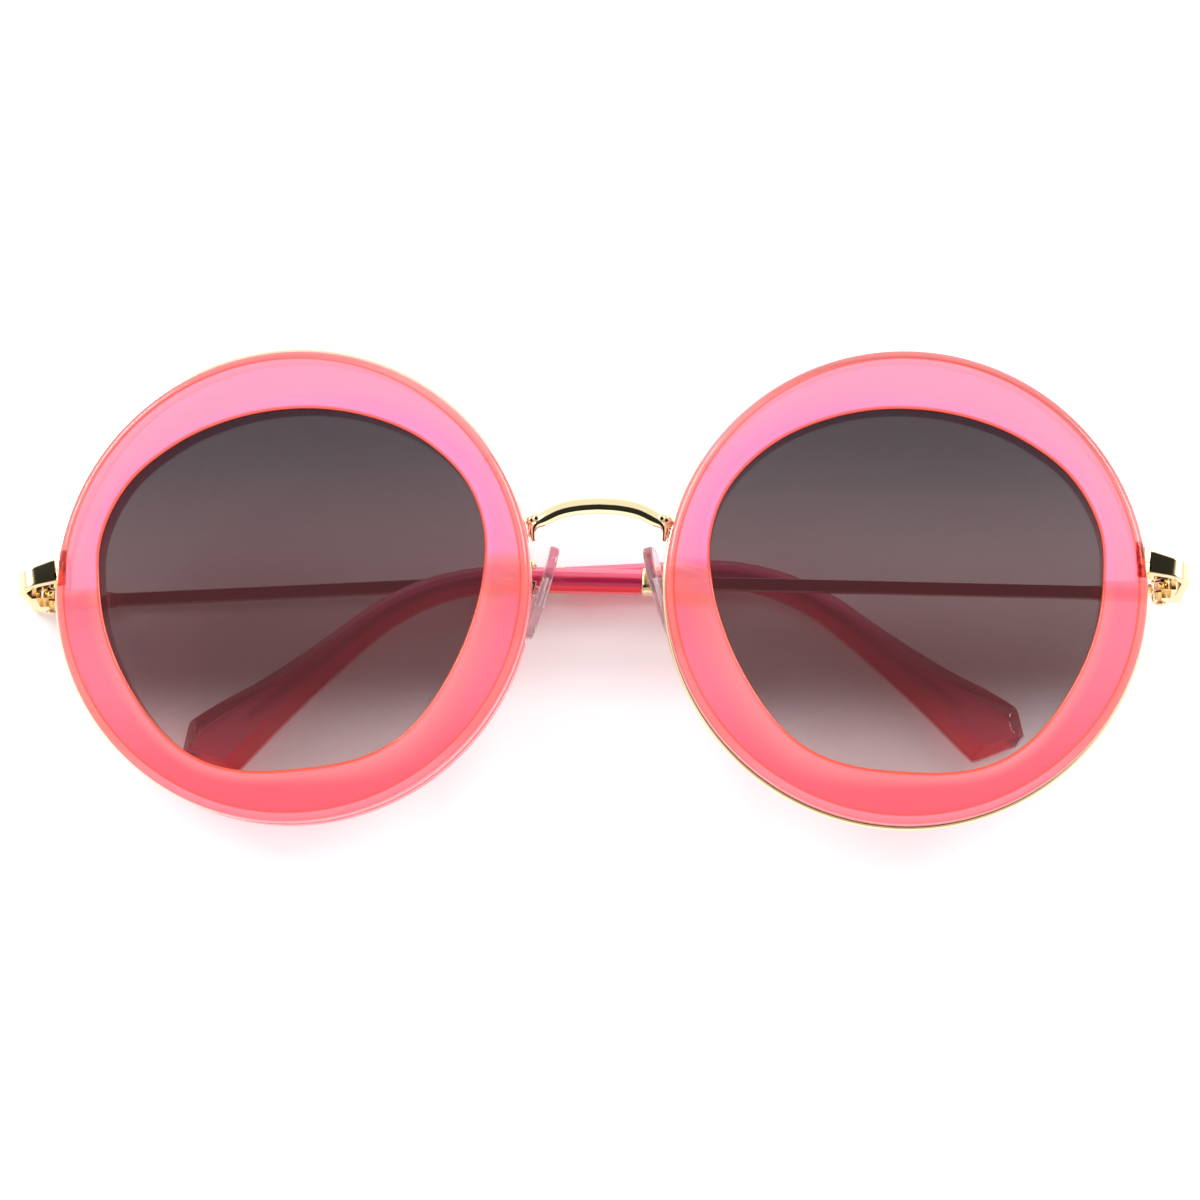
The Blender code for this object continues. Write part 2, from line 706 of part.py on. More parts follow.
def make_temple_bar(side, parent):
    """The metal bar with its tall hinge end, and the core that runs on inside the tip."""
    rise = math.radians(BAR_RISE_DEG)
    up = Vector((0, math.cos(rise), math.sin(rise)))
    heights = ((bar_start(), BAR_HINGE_HEIGHT), (BAR_TAPER_START, BAR_HINGE_HEIGHT), (BAR_TAPER_END, BAR_HEIGHT),
               (bar_start() + BAR_LENGTH - FERRULE_LENGTH - FIT_GAP, BAR_HEIGHT))
    stations = []
    for distance, height in heights:
        section = bevelled_section(height / 2, height / 2, BAR_THICKNESS / 2, CORNER_CHAMFER, CORNER_CHAMFER)
        stations.append((section, bar_point(distance), up))
    core = bevelled_section(CORE_HEIGHT / 2, CORE_HEIGHT / 2, CORE_THICKNESS / 2, CORNER_CHAMFER, CORNER_CHAMFER)
    stations.append((core, bar_point(bar_start() + BAR_LENGTH - FERRULE_LENGTH), up))
    core_length = tip_length() * CORE_END_SHARE
    for step in range(CORE_STEPS + 1):
        centre, upwards = tip_point(core_length * step / CORE_STEPS)
        stations.append((core, centre, upwards))
    loops = [place_section(section, centre, Vector((1, 0, 0)), upwards) for section, centre, upwards in stations]
    name = f"{side}_temple_bar"
    return add_object(name, loft_mesh(name, loops), COLLECTIONS["parts"], parent, MATERIALS["gold_metal"])


def make_temple_hinge(side, parent):
    """The middle knuckle on a leaf that is brazed inside the bar."""
    name = f"{side}_temple_hinge"
    half = knuckle_height() / 2
    face = bar_side() - BAR_THICKNESS / 2 - FIT_GAP
    web_face = face - LEAF_THICKNESS / 2
    leaf_half = BAR_HINGE_HEIGHT / 2 - CORNER_CHAMFER
    leaf_start = HINGE_FROM_LEG_END + BUTT_GAP
    leaf = box_mesh(name, (face - LEAF_THICKNESS, -leaf_half, -leaf_start - LEAF_LENGTH),
                    (face, leaf_half, -leaf_start))
    hinge = add_object(name, leaf, COLLECTIONS["parts"], parent, MATERIALS["gold_metal"])
    join(hinge, f"{name}_web", box_mesh(f"{name}_web", (0, -half, -leaf_start - BARREL_RADIUS),
                                        (web_face, half, 0)))
    join(hinge, f"{name}_knuckle", cylinder_mesh(f"{name}_knuckle", BARREL_RADIUS, -half, half))
    cut(hinge, f"{name}_bore", cylinder_mesh(f"{name}_bore", HINGE_SCREW_RADIUS + FIT_GAP,
                                             -BARREL_HEIGHT, BARREL_HEIGHT))
    return hinge


def tip_section(upper, lower, thick, bevel):
    """The tip's section from shares that run from the round sleeve, 0, to the full paddle, 1."""
    sleeve, paddle = TIP_HEIGHT / 2, PADDLE_HEIGHT / 2
    up = sleeve + (paddle - sleeve) * upper
    down = sleeve + (paddle - sleeve) * lower
    thickness = TIP_THICKNESS + (PADDLE_THICKNESS - TIP_THICKNESS) * thick
    bevel_height = TIP_BEVEL + (PADDLE_BEVEL_HEIGHT - TIP_BEVEL) * bevel
    bevel_width = TIP_BEVEL + (PADDLE_BEVEL_DEPTH - TIP_BEVEL) * bevel
    highest_bevel = (up + down) / 2 * BEVEL_LIMIT_SHARE
    return bevelled_section(up, down, thickness / 2, min(bevel_height, highest_bevel), bevel_width)


def make_temple_tip(side, parent):
    name = f"{side}_temple_tip"
    length = tip_length()
    loops = []
    for place, upper, lower, thick, bevel in smooth_line(TIP_SECTION_SHARES, TIP_STEPS):
        centre, upwards = tip_point(length * place)
        section = tip_section(upper, lower, thick, bevel)
        loops.append(place_section(section, centre, Vector((1, 0, 0)), upwards))
    tip = add_object(name, loft_mesh(name, loops), COLLECTIONS["parts"], parent, MATERIALS["pink_tip"])
    bore_up = CORE_HEIGHT / 2 + FIT_GAP
    bore_half = CORE_THICKNESS / 2 + FIT_GAP
    bore = bevelled_section(bore_up, bore_up, bore_half, CORNER_CHAMFER, CORNER_CHAMFER)
    bore_length = length * CORE_END_SHARE + BUTT_GAP
    bore_loops = [place_section(bore, bar_point(bar_start() + BAR_LENGTH - OVERRUN), Vector((1, 0, 0)),
                                tip_point(0)[1])]
    for step in range(CORE_STEPS + 1):
        centre, upwards = tip_point(bore_length * step / CORE_STEPS)
        bore_loops.append(place_section(bore, centre, Vector((1, 0, 0)), upwards))
    cut(tip, f"{name}_bore", loft_mesh(f"{name}_bore", bore_loops))
    return tip


def make_ferrule(side, parent):
    """The gold collar where the bar enters the tip."""
    name = f"{side}_ferrule"
    up = TIP_HEIGHT / 2 + FERRULE_WALL
    half = TIP_THICKNESS / 2 + FERRULE_WALL
    section = bevelled_section(up, up, half, TIP_BEVEL, TIP_BEVEL)
    hole_up = CORE_HEIGHT / 2 + FIT_GAP
    hole_half = CORE_THICKNESS / 2 + FIT_GAP
    hole = bevelled_section(hole_up, hole_up, hole_half, CORNER_CHAMFER, CORNER_CHAMFER)
    end = bar_start() + BAR_LENGTH - FIT_GAP
    start = end - FERRULE_LENGTH + FIT_GAP
    upwards = tip_point(0)[1]
    loops = [place_section(section, bar_point(place), Vector((1, 0, 0)), upwards) for place in (start, end)]
    ferrule = add_object(name, loft_mesh(name, loops), COLLECTIONS["parts"], parent, MATERIALS["gold_metal"])
    hole_loops = [place_section(hole, bar_point(place), Vector((1, 0, 0)), upwards)
                  for place in (start - OVERRUN, end + OVERRUN)]
    cut(ferrule, f"{name}_hole", loft_mesh(f"{name}_hole", hole_loops))
    return ferrule


# Nose pad, in the pad's frame: X away from the nose, Y up the pad, Z forward along the screw

def make_nose_pad(side, parent):
    """A clear pad with rounded faces, and the boss that its screw passes through."""
    name = f"{side}_nose_pad"
    half = (PAD_THICKNESS / 2, PAD_LENGTH / 2, PAD_WIDTH / 2)
    cage = bmesh.new()
    bmesh.ops.create_cube(cage, size=2)
    bmesh.ops.subdivide_edges(cage, edges=[edge for edge in cage.edges if is_along_y(edge)], cuts=2)
    for vertex in cage.verts:
        vertex.co = Vector((vertex.co.x * half[0] - PAD_OFFSET, vertex.co.y * half[1], vertex.co.z * half[2]))
    pad = add_object(name, finish_mesh(cage, name), COLLECTIONS["parts"], parent, MATERIALS["clear_pad"])
    soft = pad.modifiers.new("rounding", "SUBSURF")
    soft.levels = 2
    soft.render_levels = 2
    boss_half = PAD_BOSS_WIDTH / 2
    boss_up = PAD_BOSS_HEIGHT / 2
    join(pad, f"{name}_boss", box_mesh(f"{name}_boss", (-PAD_OFFSET, -boss_up, -boss_half),
                                       (boss_up, boss_up, boss_half)))
    cut(pad, f"{name}_bore", cylinder_mesh(f"{name}_bore", PAD_SCREW_RADIUS + FIT_GAP, -PAD_WIDTH, PAD_WIDTH,
                                           axis="Z"))
    return pad


def is_along_y(edge):
    first, second = edge.verts
    return abs(first.co.y - second.co.y) > abs(first.co.x - second.co.x) + abs(first.co.z - second.co.z)


def box_half_width():
    return PAD_BOSS_WIDTH / 2 + KNUCKLE_GAP + BOX_WALL


def make_pad_box(side, parent):
    """The small metal fork that holds the pad's boss."""
    name = f"{side}_pad_box"
    wide = box_half_width()
    up = BOX_HEIGHT / 2
    box = add_object(name, box_mesh(name, (-BOX_REACH, -up, -wide), (BOX_BACK, up, wide)),
                     COLLECTIONS["parts"], parent, MATERIALS["gold_metal"])
    cut(box, f"{name}_slot", box_mesh(f"{name}_slot", (-BOX_REACH - OVERRUN, -up - OVERRUN, BOX_WALL - wide),
                                      (BOX_BACK - BOX_WALL, up + OVERRUN, wide - BOX_WALL)))
    cut(box, f"{name}_bore", cylinder_mesh(f"{name}_bore", PAD_SCREW_RADIUS + FIT_GAP, -wide - OVERRUN,
                                           wide + OVERRUN, axis="Z"))
    return box


def make_pad_screw(side, parent):
    name = f"{side}_pad_screw"
    wide = box_half_width()
    head_low = wide + FIT_GAP
    head_high = head_low + SCREW_HEAD_HEIGHT
    head_radius = PAD_SCREW_RADIUS * 2
    shank = cylinder_mesh(name, PAD_SCREW_RADIUS, -wide, head_low + SCREW_HEAD_HEIGHT / 2, axis="Z")
    screw = add_object(name, shank, COLLECTIONS["parts"], parent, MATERIALS["gold_metal"])
    join(screw, f"{name}_head", cylinder_mesh(f"{name}_head", head_radius, head_low, head_high, axis="Z"))
    slot_half = SCREW_SLOT_WIDTH / 2
    cut(screw, f"{name}_slot", box_mesh(f"{name}_slot", (-BARREL_RADIUS, -slot_half, head_high - SCREW_SLOT_WIDTH),
                                        (BARREL_RADIUS, slot_half, head_high + OVERRUN)))
    return screw


def make_pad_arm(side, parent):
    """A wire from the back of the eyewire, looped round to the back of the pad's box."""
    start_angle = 180 - math.degrees(math.asin(PAD_ARM_POINTS[0][1] / RIM_RADIUS))
    on_eyewire = polar(eyewire_centre_radius(), start_angle, -EYEWIRE_RADIUS - FIT_GAP)
    start = rim_to_front(on_eyewire)
    end = Vector(PAD_PIVOT) + pad_turn() @ Vector((BOX_BACK + FIT_GAP, 0, 0))
    lead = Vector(PAD_PIVOT) + pad_turn() @ Vector((BOX_BACK + FIT_GAP + PAD_ARM_LEAD, 0, 0))
    line = smooth_line([tuple(start), *PAD_ARM_POINTS, tuple(lead), tuple(end)], PAD_ARM_STEPS)
    name = f"{side}_pad_arm"
    mesh = wire_mesh(name, line, PAD_ARM_RADIUS)
    return add_object(name, mesh, COLLECTIONS["parts"], parent, MATERIALS["gold_metal"])


# Assembly

def build_side(side, root, mirror, fold_short_deg):
    side_frame = add_empty(f"{side}_side", root, scale=(mirror, 1, 1))
    centre = Vector((rim_side(), 0, 0))
    turn = Matrix.Rotation(math.radians(TURN_DEG * mirror), 3, "Z")
    turned_frame = add_empty(f"{side}_turned_side", side_frame, centre - turn @ centre, turn)
    rim_frame = add_empty(f"{side}_rim_frame", turned_frame, centre, rim_turn())
    make_rim(side, rim_frame)
    make_lens(side, rim_frame)
    make_eyewire(side, rim_frame)
    make_closing_block(side, rim_frame)

    hinge_frame = add_empty(f"{side}_hinge_frame", turned_frame, hinge_place(), hinge_turn())
    make_end_piece(side, hinge_frame)
    make_front_hinge(side, hinge_frame)
    make_hinge_screw(side, hinge_frame)

    fold = Matrix.Rotation(math.radians(90 - fold_short_deg), 3, "Y")
    temple_frame = add_empty(f"{side}_temple_frame", hinge_frame, rotation=fold)
    make_temple_bar(side, temple_frame)
    make_temple_hinge(side, temple_frame)
    make_ferrule(side, temple_frame)
    make_temple_tip(side, temple_frame)

    pad_frame = add_empty(f"{side}_pad_frame", side_frame, PAD_PIVOT, pad_turn())
    make_pad_arm(side, side_frame)
    make_pad_box(side, pad_frame)
    make_pad_screw(side, pad_frame)
    make_nose_pad(side, pad_frame)


# Laying the spectacles down

def world_meshes():
    """Each part's evaluated mesh in world space, with its material's name."""
    depsgraph = bpy.context.evaluated_depsgraph_get()
    for item in COLLECTIONS["parts"].objects:
        mesh = bpy.data.meshes.new_from_object(item.evaluated_get(depsgraph))
        mesh.transform(item.matrix_world)
        mesh.calc_loop_triangles()
        yield mesh, item.data.materials[0].name
        bpy.data.meshes.remove(mesh)


def weigh_parts():
    """All corners of the parts, and the point through which their weight acts."""
    corners = []
    moment = Vector((0, 0, 0))
    total = 0
    for mesh, material_name in world_meshes():
        points = [vertex.co.copy() for vertex in mesh.vertices]
        corners.extend(points)
        volume = 0
        centre = Vector((0, 0, 0))
        for triangle in mesh.loop_triangles:
            a, b, c = (points[index] for index in triangle.vertices)
            part = a.dot(b.cross(c)) / 6
            volume += part
            centre += (a + b + c) / 4 * part
        sign = 1 if volume > 0 else -1
        weight = DENSITY[material_name]
        total += sign * volume * weight
        moment += sign * centre * weight
    return corners, moment / total


def falls_inside(point, face):
    """Whether a point, dropped square onto a hull face, lands within it."""
    normal = face.normal
    corners = [vertex.co for vertex in face.verts]
    for first, second in zip(corners, corners[1:] + corners[:1]):
        if (second - first).cross(point - first).dot(normal) < 0:
            return False
    return True


def table_facet(corners, centre):
    """Outward normal of the hull face behind the front on which the weight rests."""
    hull = bmesh.new()
    for corner in corners:
        hull.verts.new(corner)
    bmesh.ops.convex_hull(hull, input=hull.verts)
    hull.normal_update()
    best = None
    for face in hull.faces:
        middle = face.calc_center_median()
        normal = face.normal if face.normal.dot(middle - centre) > 0 else -face.normal
        if falls_inside(centre, face) and (best is None or normal.z < best.z):
            best = normal.copy()
    hull.free()
    return best


def lay_down(root):
    """Turns the folded spectacles so that the facet that carries them lies on the ground plane."""
    bpy.context.view_layer.update()
    corners, centre = weigh_parts()
    up = -table_facet(corners, centre)
    along = (Vector((1, 0, 0)) - up * up.x).normalized()
    turn = Matrix((along, up.cross(along), up)).to_4x4()
    turned = [turn @ corner for corner in corners]
    low = [min(corner[axis] for corner in turned) for axis in range(3)]
    high = [max(corner[axis] for corner in turned) for axis in range(3)]
    drop = Vector(((low[0] + high[0]) / 2, (low[1] + high[1]) / 2, low[2]))
    root.matrix_basis = Matrix.Translation(-drop) @ turn
    bpy.context.view_layer.update()


clear_scene()
COLLECTIONS = {"parts": make_collection("sunglasses"), "cutters": make_collection("cutters")}
MATERIALS = {
    "pink_plastic": pink_plastic(),
    "tinted_lens": tinted_lens(),
    "gold_metal": gold_metal(),
    "pink_tip": pink_tip(),
    "clear_pad": clear_pad(),
}
ROOT = add_empty("table_pose", None)
make_bridge(ROOT)
build_side("left", ROOT, 1, LEFT_FOLD_SHORT_DEG)
build_side("right", ROOT, -1, RIGHT_FOLD_SHORT_DEG)
lay_down(ROOT)
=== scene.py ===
import json
import math

import bmesh
import bpy
import numpy as np
from mathutils import Matrix, Vector


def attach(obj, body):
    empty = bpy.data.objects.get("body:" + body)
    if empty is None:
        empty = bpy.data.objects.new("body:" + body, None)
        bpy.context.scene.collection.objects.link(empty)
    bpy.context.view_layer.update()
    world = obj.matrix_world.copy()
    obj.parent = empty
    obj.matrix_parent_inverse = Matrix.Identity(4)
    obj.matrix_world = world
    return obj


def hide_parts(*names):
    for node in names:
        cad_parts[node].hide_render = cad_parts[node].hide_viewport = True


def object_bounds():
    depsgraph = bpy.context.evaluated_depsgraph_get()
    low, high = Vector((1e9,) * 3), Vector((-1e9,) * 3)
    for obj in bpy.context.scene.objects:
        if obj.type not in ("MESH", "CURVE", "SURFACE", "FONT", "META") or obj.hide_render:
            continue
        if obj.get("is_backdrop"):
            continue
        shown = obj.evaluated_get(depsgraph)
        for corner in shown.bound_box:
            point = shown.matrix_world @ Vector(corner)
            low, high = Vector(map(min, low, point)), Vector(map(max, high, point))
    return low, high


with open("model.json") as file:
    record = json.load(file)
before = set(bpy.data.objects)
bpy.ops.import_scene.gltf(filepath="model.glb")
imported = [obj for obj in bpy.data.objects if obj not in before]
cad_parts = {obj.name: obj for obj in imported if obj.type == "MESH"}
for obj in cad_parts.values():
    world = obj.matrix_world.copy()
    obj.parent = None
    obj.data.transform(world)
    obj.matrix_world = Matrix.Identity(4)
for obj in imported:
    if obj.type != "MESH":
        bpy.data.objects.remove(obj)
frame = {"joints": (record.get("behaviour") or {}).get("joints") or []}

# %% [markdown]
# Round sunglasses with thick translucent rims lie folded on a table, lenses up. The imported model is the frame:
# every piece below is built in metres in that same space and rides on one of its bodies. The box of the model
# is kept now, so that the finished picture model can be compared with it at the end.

CAD_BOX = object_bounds()
MM = 0.001
print("packed model", [[round(value / MM, 1) for value in corner] for corner in CAD_BOX])

# %% [markdown]
# The camera looks down steeply on the front from the wearer's chin side. Its long lens keeps the two rims the
# same size. It is turned a little about its own axis, because the photograph shows the rims level while the
# folded temples hold one side of the front higher than the other.

# %% Camera
VIEW_SPAN = 0.1541
VIEW_DISTANCE = 0.60
VIEW_ELEVATION = math.radians(69.8)
VIEW_ROLL = math.radians(1.32)
VIEW_TARGET = Vector((-0.00018, -0.00150, 0.01524))
SENSOR_WIDTH = 36.0
FAR_CLIP = 10


def linked(name, data):
    """A new object of the scene that holds the data."""
    item = bpy.data.objects.new(name, data)
    bpy.context.scene.collection.objects.link(item)
    return item


def add_camera():
    towards = Vector((0, -math.cos(VIEW_ELEVATION), math.sin(VIEW_ELEVATION)))
    data = bpy.data.cameras.new("camera")
    data.sensor_width = SENSOR_WIDTH
    data.lens = SENSOR_WIDTH * VIEW_DISTANCE / VIEW_SPAN
    data.clip_end = FAR_CLIP
    camera = linked("camera", data)
    camera.location = VIEW_TARGET + towards * VIEW_DISTANCE
    camera.rotation_euler = towards.to_track_quat("Z", "Y").to_euler()
    camera.rotation_euler.rotate_axis("Z", VIEW_ROLL)
    bpy.context.scene.camera = camera
    return data.lens


print("camera focal length", round(add_camera(), 1))

# %% [markdown]
# The spectacles are easiest to describe upright, as a maker draws them: X to the viewer's right, Y up the
# front and Z forward out of the lenses. The two hinge pins and the two pad screws are joints of the packed
# model, and their places in the maker's drawing are known. The turn and shift that carry the four drawn points
# onto the four real ones is the pose on the table.

# %% The maker's sizes and the pose on the table
RIM_RADIUS = 0.0308
RIM_GAP = 0.0170
RIM_SIDE = RIM_GAP / 2 + RIM_RADIUS
RIM_DEPTH = 0.0054
FACE_FORM_DEG = 2.5
TURN_DEG = 1.3
STRAP_RAISE = 0.0031
STRAP_FALL = 0.0011
STRAP_THICKNESS = 0.0011
END_PIECE_REACH = 0.0044
LEG_LENGTH = 0.0098
HINGE_FROM_LEG_END = 0.0023
HINGE_PITCH_DEG = 8.0
BARREL_STANDOFF = 0.00175
BLOCK_PROUD = 0.0006
FIT_GAP = 0.0001
PAD_PIVOT = Vector((0.0098, 0.0009, -0.0054))
PAD_LEAN_DEG = 16
PAD_SPLAY_DEG = 8
FOLD_SHORT_DEG = {"left": -0.3, "right": 2.8}
SIDES = {"left": 1, "right": -1}


def turned(degrees, axis):
    return Matrix.Rotation(math.radians(degrees), 4, axis)


def mirrored(side):
    return Matrix.Diagonal((SIDES[side], 1, 1, 1))


RIM_CENTRE = Matrix.Translation((RIM_SIDE, 0, 0))
FACE_FORM = turned(FACE_FORM_DEG, "Y")
HINGE_PITCH = turned(-HINGE_PITCH_DEG, "X")
PAD_TURN = turned(PAD_LEAN_DEG, "Z") @ turned(-PAD_SPLAY_DEG, "Y")
STRAP_START = RIM_CENTRE @ FACE_FORM @ Vector((RIM_RADIUS + BLOCK_PROUD + FIT_GAP, STRAP_RAISE, 0))
HINGE_PIN = Vector((STRAP_START.x + END_PIECE_REACH - STRAP_THICKNESS - BARREL_STANDOFF, STRAP_RAISE - STRAP_FALL,
                    STRAP_START.z)) + HINGE_PITCH @ Vector((0, 0, HINGE_FROM_LEG_END - LEG_LENGTH))


def drawn_places(side):
    """Where the rim, hinge pin and pad of a side are drawn; the real frame's sides are twisted a little."""
    twisted = mirrored(side) @ RIM_CENTRE @ turned(TURN_DEG * SIDES[side], "Z") @ RIM_CENTRE.inverted()
    return {"rim": twisted @ RIM_CENTRE @ FACE_FORM,
            "hinge": twisted @ Matrix.Translation(HINGE_PIN) @ HINGE_PITCH,
            "pad": mirrored(side) @ Matrix.Translation(PAD_PIVOT) @ PAD_TURN}


def rigid_fit(drawn, real):
    """The turn and shift that lay the drawn points on the real ones, and the largest miss."""
    drawn, real = np.array(drawn), np.array(real)
    drawn_middle, real_middle = drawn.mean(0), real.mean(0)
    left, _, right = np.linalg.svd((drawn - drawn_middle).T @ (real - real_middle))
    keep = np.diag([1, 1, np.sign(np.linalg.det(right.T @ left.T))])
    turn = right.T @ keep @ left.T
    shift = real_middle - turn @ drawn_middle
    rows = [(*turn[row], shift[row]) for row in range(3)]
    return Matrix([*rows, (0, 0, 0, 1)]), float(np.abs(drawn @ turn.T + shift - real).max())


DRAWN = {side: drawn_places(side) for side in SIDES}
joint_places = {joint["name"]: joint["pos_m"] for joint in frame["joints"]}
pairs = [(DRAWN[side][part].translation, joint_places[f"{side}_{joint}"])
         for side in SIDES for part, joint in (("hinge", "temple_hinge_joint"), ("pad", "pad_rock"))]
TABLE_POSE, pose_miss = rigid_fit(*zip(*pairs))
RIM_PLACE, HINGE_PLACE, PAD_PLACE = (
    {side: TABLE_POSE @ DRAWN[side][part] for side in SIDES} for part in ("rim", "hinge", "pad"))
TEMPLE_PLACE = {side: HINGE_PLACE[side] @ turned(90 - FOLD_SHORT_DEG[side], "Y") for side in SIDES}
print("drawing laid on the joints, largest miss in mm", round(pose_miss / MM, 4))

# %% [markdown]
# A node tree reads better as arithmetic. The small class below wraps one output socket: adding, multiplying or
# subtracting such values adds the Math nodes. Every other node comes from one method that takes its type, its
# sockets' values or links, and its settings, which are set first.

# %% Node arithmetic
class Flow:
    """One output of a node, which takes part in sums."""

    def __init__(self, graph, socket):
        self.graph, self.socket = graph, socket

    def math(self, operation, *others):
        return self.graph.node("ShaderNodeMath", dict(enumerate((self, *others))), operation=operation)

    def __add__(self, other):
        return self.math("ADD", other)

    def __mul__(self, other):
        return self.math("MULTIPLY", other)

    def __sub__(self, other):
        return self.math("SUBTRACT", other)

    def __rsub__(self, other):
        return self.graph.node("ShaderNodeMath", {0: other, 1: self}, operation="SUBTRACT")

    __radd__ = __add__
    __rmul__ = __mul__


class Graph:
    """The nodes of one material, world or geometry tree."""

    def __init__(self, tree):
        self.tree = tree
        tree.nodes.clear()

    def feed(self, socket, value):
        if isinstance(value, Flow):
            self.tree.links.new(value.socket, socket)
        elif socket.type == "RGBA" and len(value) == 3:
            socket.default_value = (*value, 1)
        else:
            socket.default_value = value

    def node(self, kind, inputs=None, output=0, **settings):
        item = self.tree.nodes.new(kind)
        for name, value in settings.items():
            setattr(item, name, value)
        for key, value in (inputs or {}).items():
            self.feed(item.inputs[key], value)
        return Flow(self, item.outputs[output] if len(item.outputs) else None)

    def axes(self, vector):
        """The three numbers of a vector."""
        split = self.node("ShaderNodeSeparateXYZ", {0: vector}).socket.node
        return [Flow(self, socket) for socket in split.outputs]

    def step(self, value, low, high):
        """0 below low, 1 above high, smooth between."""
        return self.node("ShaderNodeMapRange", {"Value": value, "From Min": low, "From Max": high},
                         interpolation_type="SMOOTHSTEP")

    def fade(self, value, low, high):
        """1 below low, 0 above high, smooth between."""
        return 1 - self.step(value, low, high)

    def band(self, value, rise_low, rise_high, fall_low, fall_high):
        return self.step(value, rise_low, rise_high) * self.fade(value, fall_low, fall_high)

    def blend(self, share, first, second):
        """From the first colour to the second as the share goes from 0 to 1."""
        return self.node("ShaderNodeMix", {0: share, 6: first, 7: second}, 2, data_type="RGBA")

    def attribute(self, name):
        return self.node("ShaderNodeAttribute", output=2, attribute_name=name)

    def noise(self, scale, detail=3.0, stretch=(1, 1, 1)):
        place = self.node("ShaderNodeTexCoord", output="Object")
        spread = self.node("ShaderNodeMapping", {"Vector": place, "Scale": stretch})
        return self.node("ShaderNodeTexNoise", {"Vector": spread, "Scale": scale, "Detail": detail})

    def bump(self, height, distance, strength):
        return self.node("ShaderNodeBump", {"Height": height, "Distance": distance, "Strength": strength})

    def ray(self, kind):
        return self.node("ShaderNodeLightPath", output=f"Is {kind} Ray")

    def mix(self, share, first, second):
        """From the first shader to the second as the share goes from 0 to 1."""
        return self.node("ShaderNodeMixShader", {0: share, 1: first, 2: second})


def linear(red, green, blue):
    """A screen colour, 0 to 255, as the linear colour that a shader takes."""
    return tuple(((value / 255 + 0.055) / 1.055) ** 2.4 if value > 10 else value / 255 / 12.92
                 for value in (red, green, blue))


def paints(**screen_colours):
    return {name: linear(*colour) for name, colour in screen_colours.items()}


print("a mid pink in linear light", [round(value, 3) for value in linear(255, 150, 190)])

# %% [markdown]
# Polished plastic and gold both carry the same kind of wear: a slight unevenness of the gloss. One helper makes
# that pattern, so that each finish can use it at its own strength. Clear plastic throws a coloured shadow, which
# a second helper adds to a finish.

# %% Wear pattern and material
SMEAR_SCALE = 220.0
SMEAR_DETAIL = 4.0


def polish_marks(graph, base, spread):
    """A roughness around the base value that varies with cloudy smears."""
    return graph.noise(SMEAR_SCALE, SMEAR_DETAIL) * spread + (base - spread / 2)


def tinted_shadow(graph, surface, colour):
    """Lets the light of the studio pass with a tint, so that a clear piece throws a coloured, soft shadow."""
    return graph.mix(graph.ray("Shadow"), surface, graph.node("ShaderNodeBsdfTransparent", {"Color": colour}))


def principled(graph, inputs):
    return graph.node("ShaderNodeBsdfPrincipled", inputs)


def finish_of(name, surface_of, *values):
    """A material whose surface comes from a function of its graph."""
    material = bpy.data.materials.new(name)
    material.use_nodes = True
    graph = Graph(material.node_tree)
    graph.node("ShaderNodeOutputMaterial", {"Surface": surface_of(graph, *values)})
    print("finish", name, len(graph.tree.nodes), "nodes")
    return material


print("smears about", round(1 / SMEAR_SCALE / MM, 1), "mm across")

# %% [markdown]
# The rims are thick cast plastic of a fluorescent pink, milky and half see-through; a weak emission in the body's own
# colour is painted glow that lifts the shaded parts. Light and shade are painted into the colour: the upper half is a
# cool bubblegum pink where the white table shines through, the lower half a coral where the frame's own shadow lies
# behind it, deeper towards the cheek. A lighter painted glow runs along the opening, violet in its upper half and
# wider near the nose, and a painted patch of shade lies by the nose where the pad's arm is behind. The rounded outer
# edge is a coral band between two fine orange lines and the edge of the opening a red line: painted bands that stand
# in for the refraction and reflections of the rounded edges. The inner wall of the opening is painted dark as shade,
# the outer wall is darker behind the wire than in front of it, and the notch at the temple side is painted deep red
# as shade in the recess, with lighter streaks. Distances stored on the mesh keep these bands at their real widths in
# millimetres all the way round: from the outer edge, from the opening, up the front, forward in the rim and from
# the notch.

# %% Pink plastic finish
PINK = paints(
    upper=(255, 163, 191), lower=(255, 140, 162), chin=(255, 116, 130), glow=(255, 158, 160),
    violet=(255, 160, 202), nasal_violet=(255, 150, 202), arm=(250, 136, 118), edge=(255, 150, 142),
    low_edge=(255, 178, 192), line=(255, 96, 62), inner_wall=(120, 10, 36), rear_wall=(244, 84, 98),
    front_wall=(255, 172, 186), recess=(150, 14, 30), recess_streak=(246, 78, 52), shadow=(236, 210, 214))


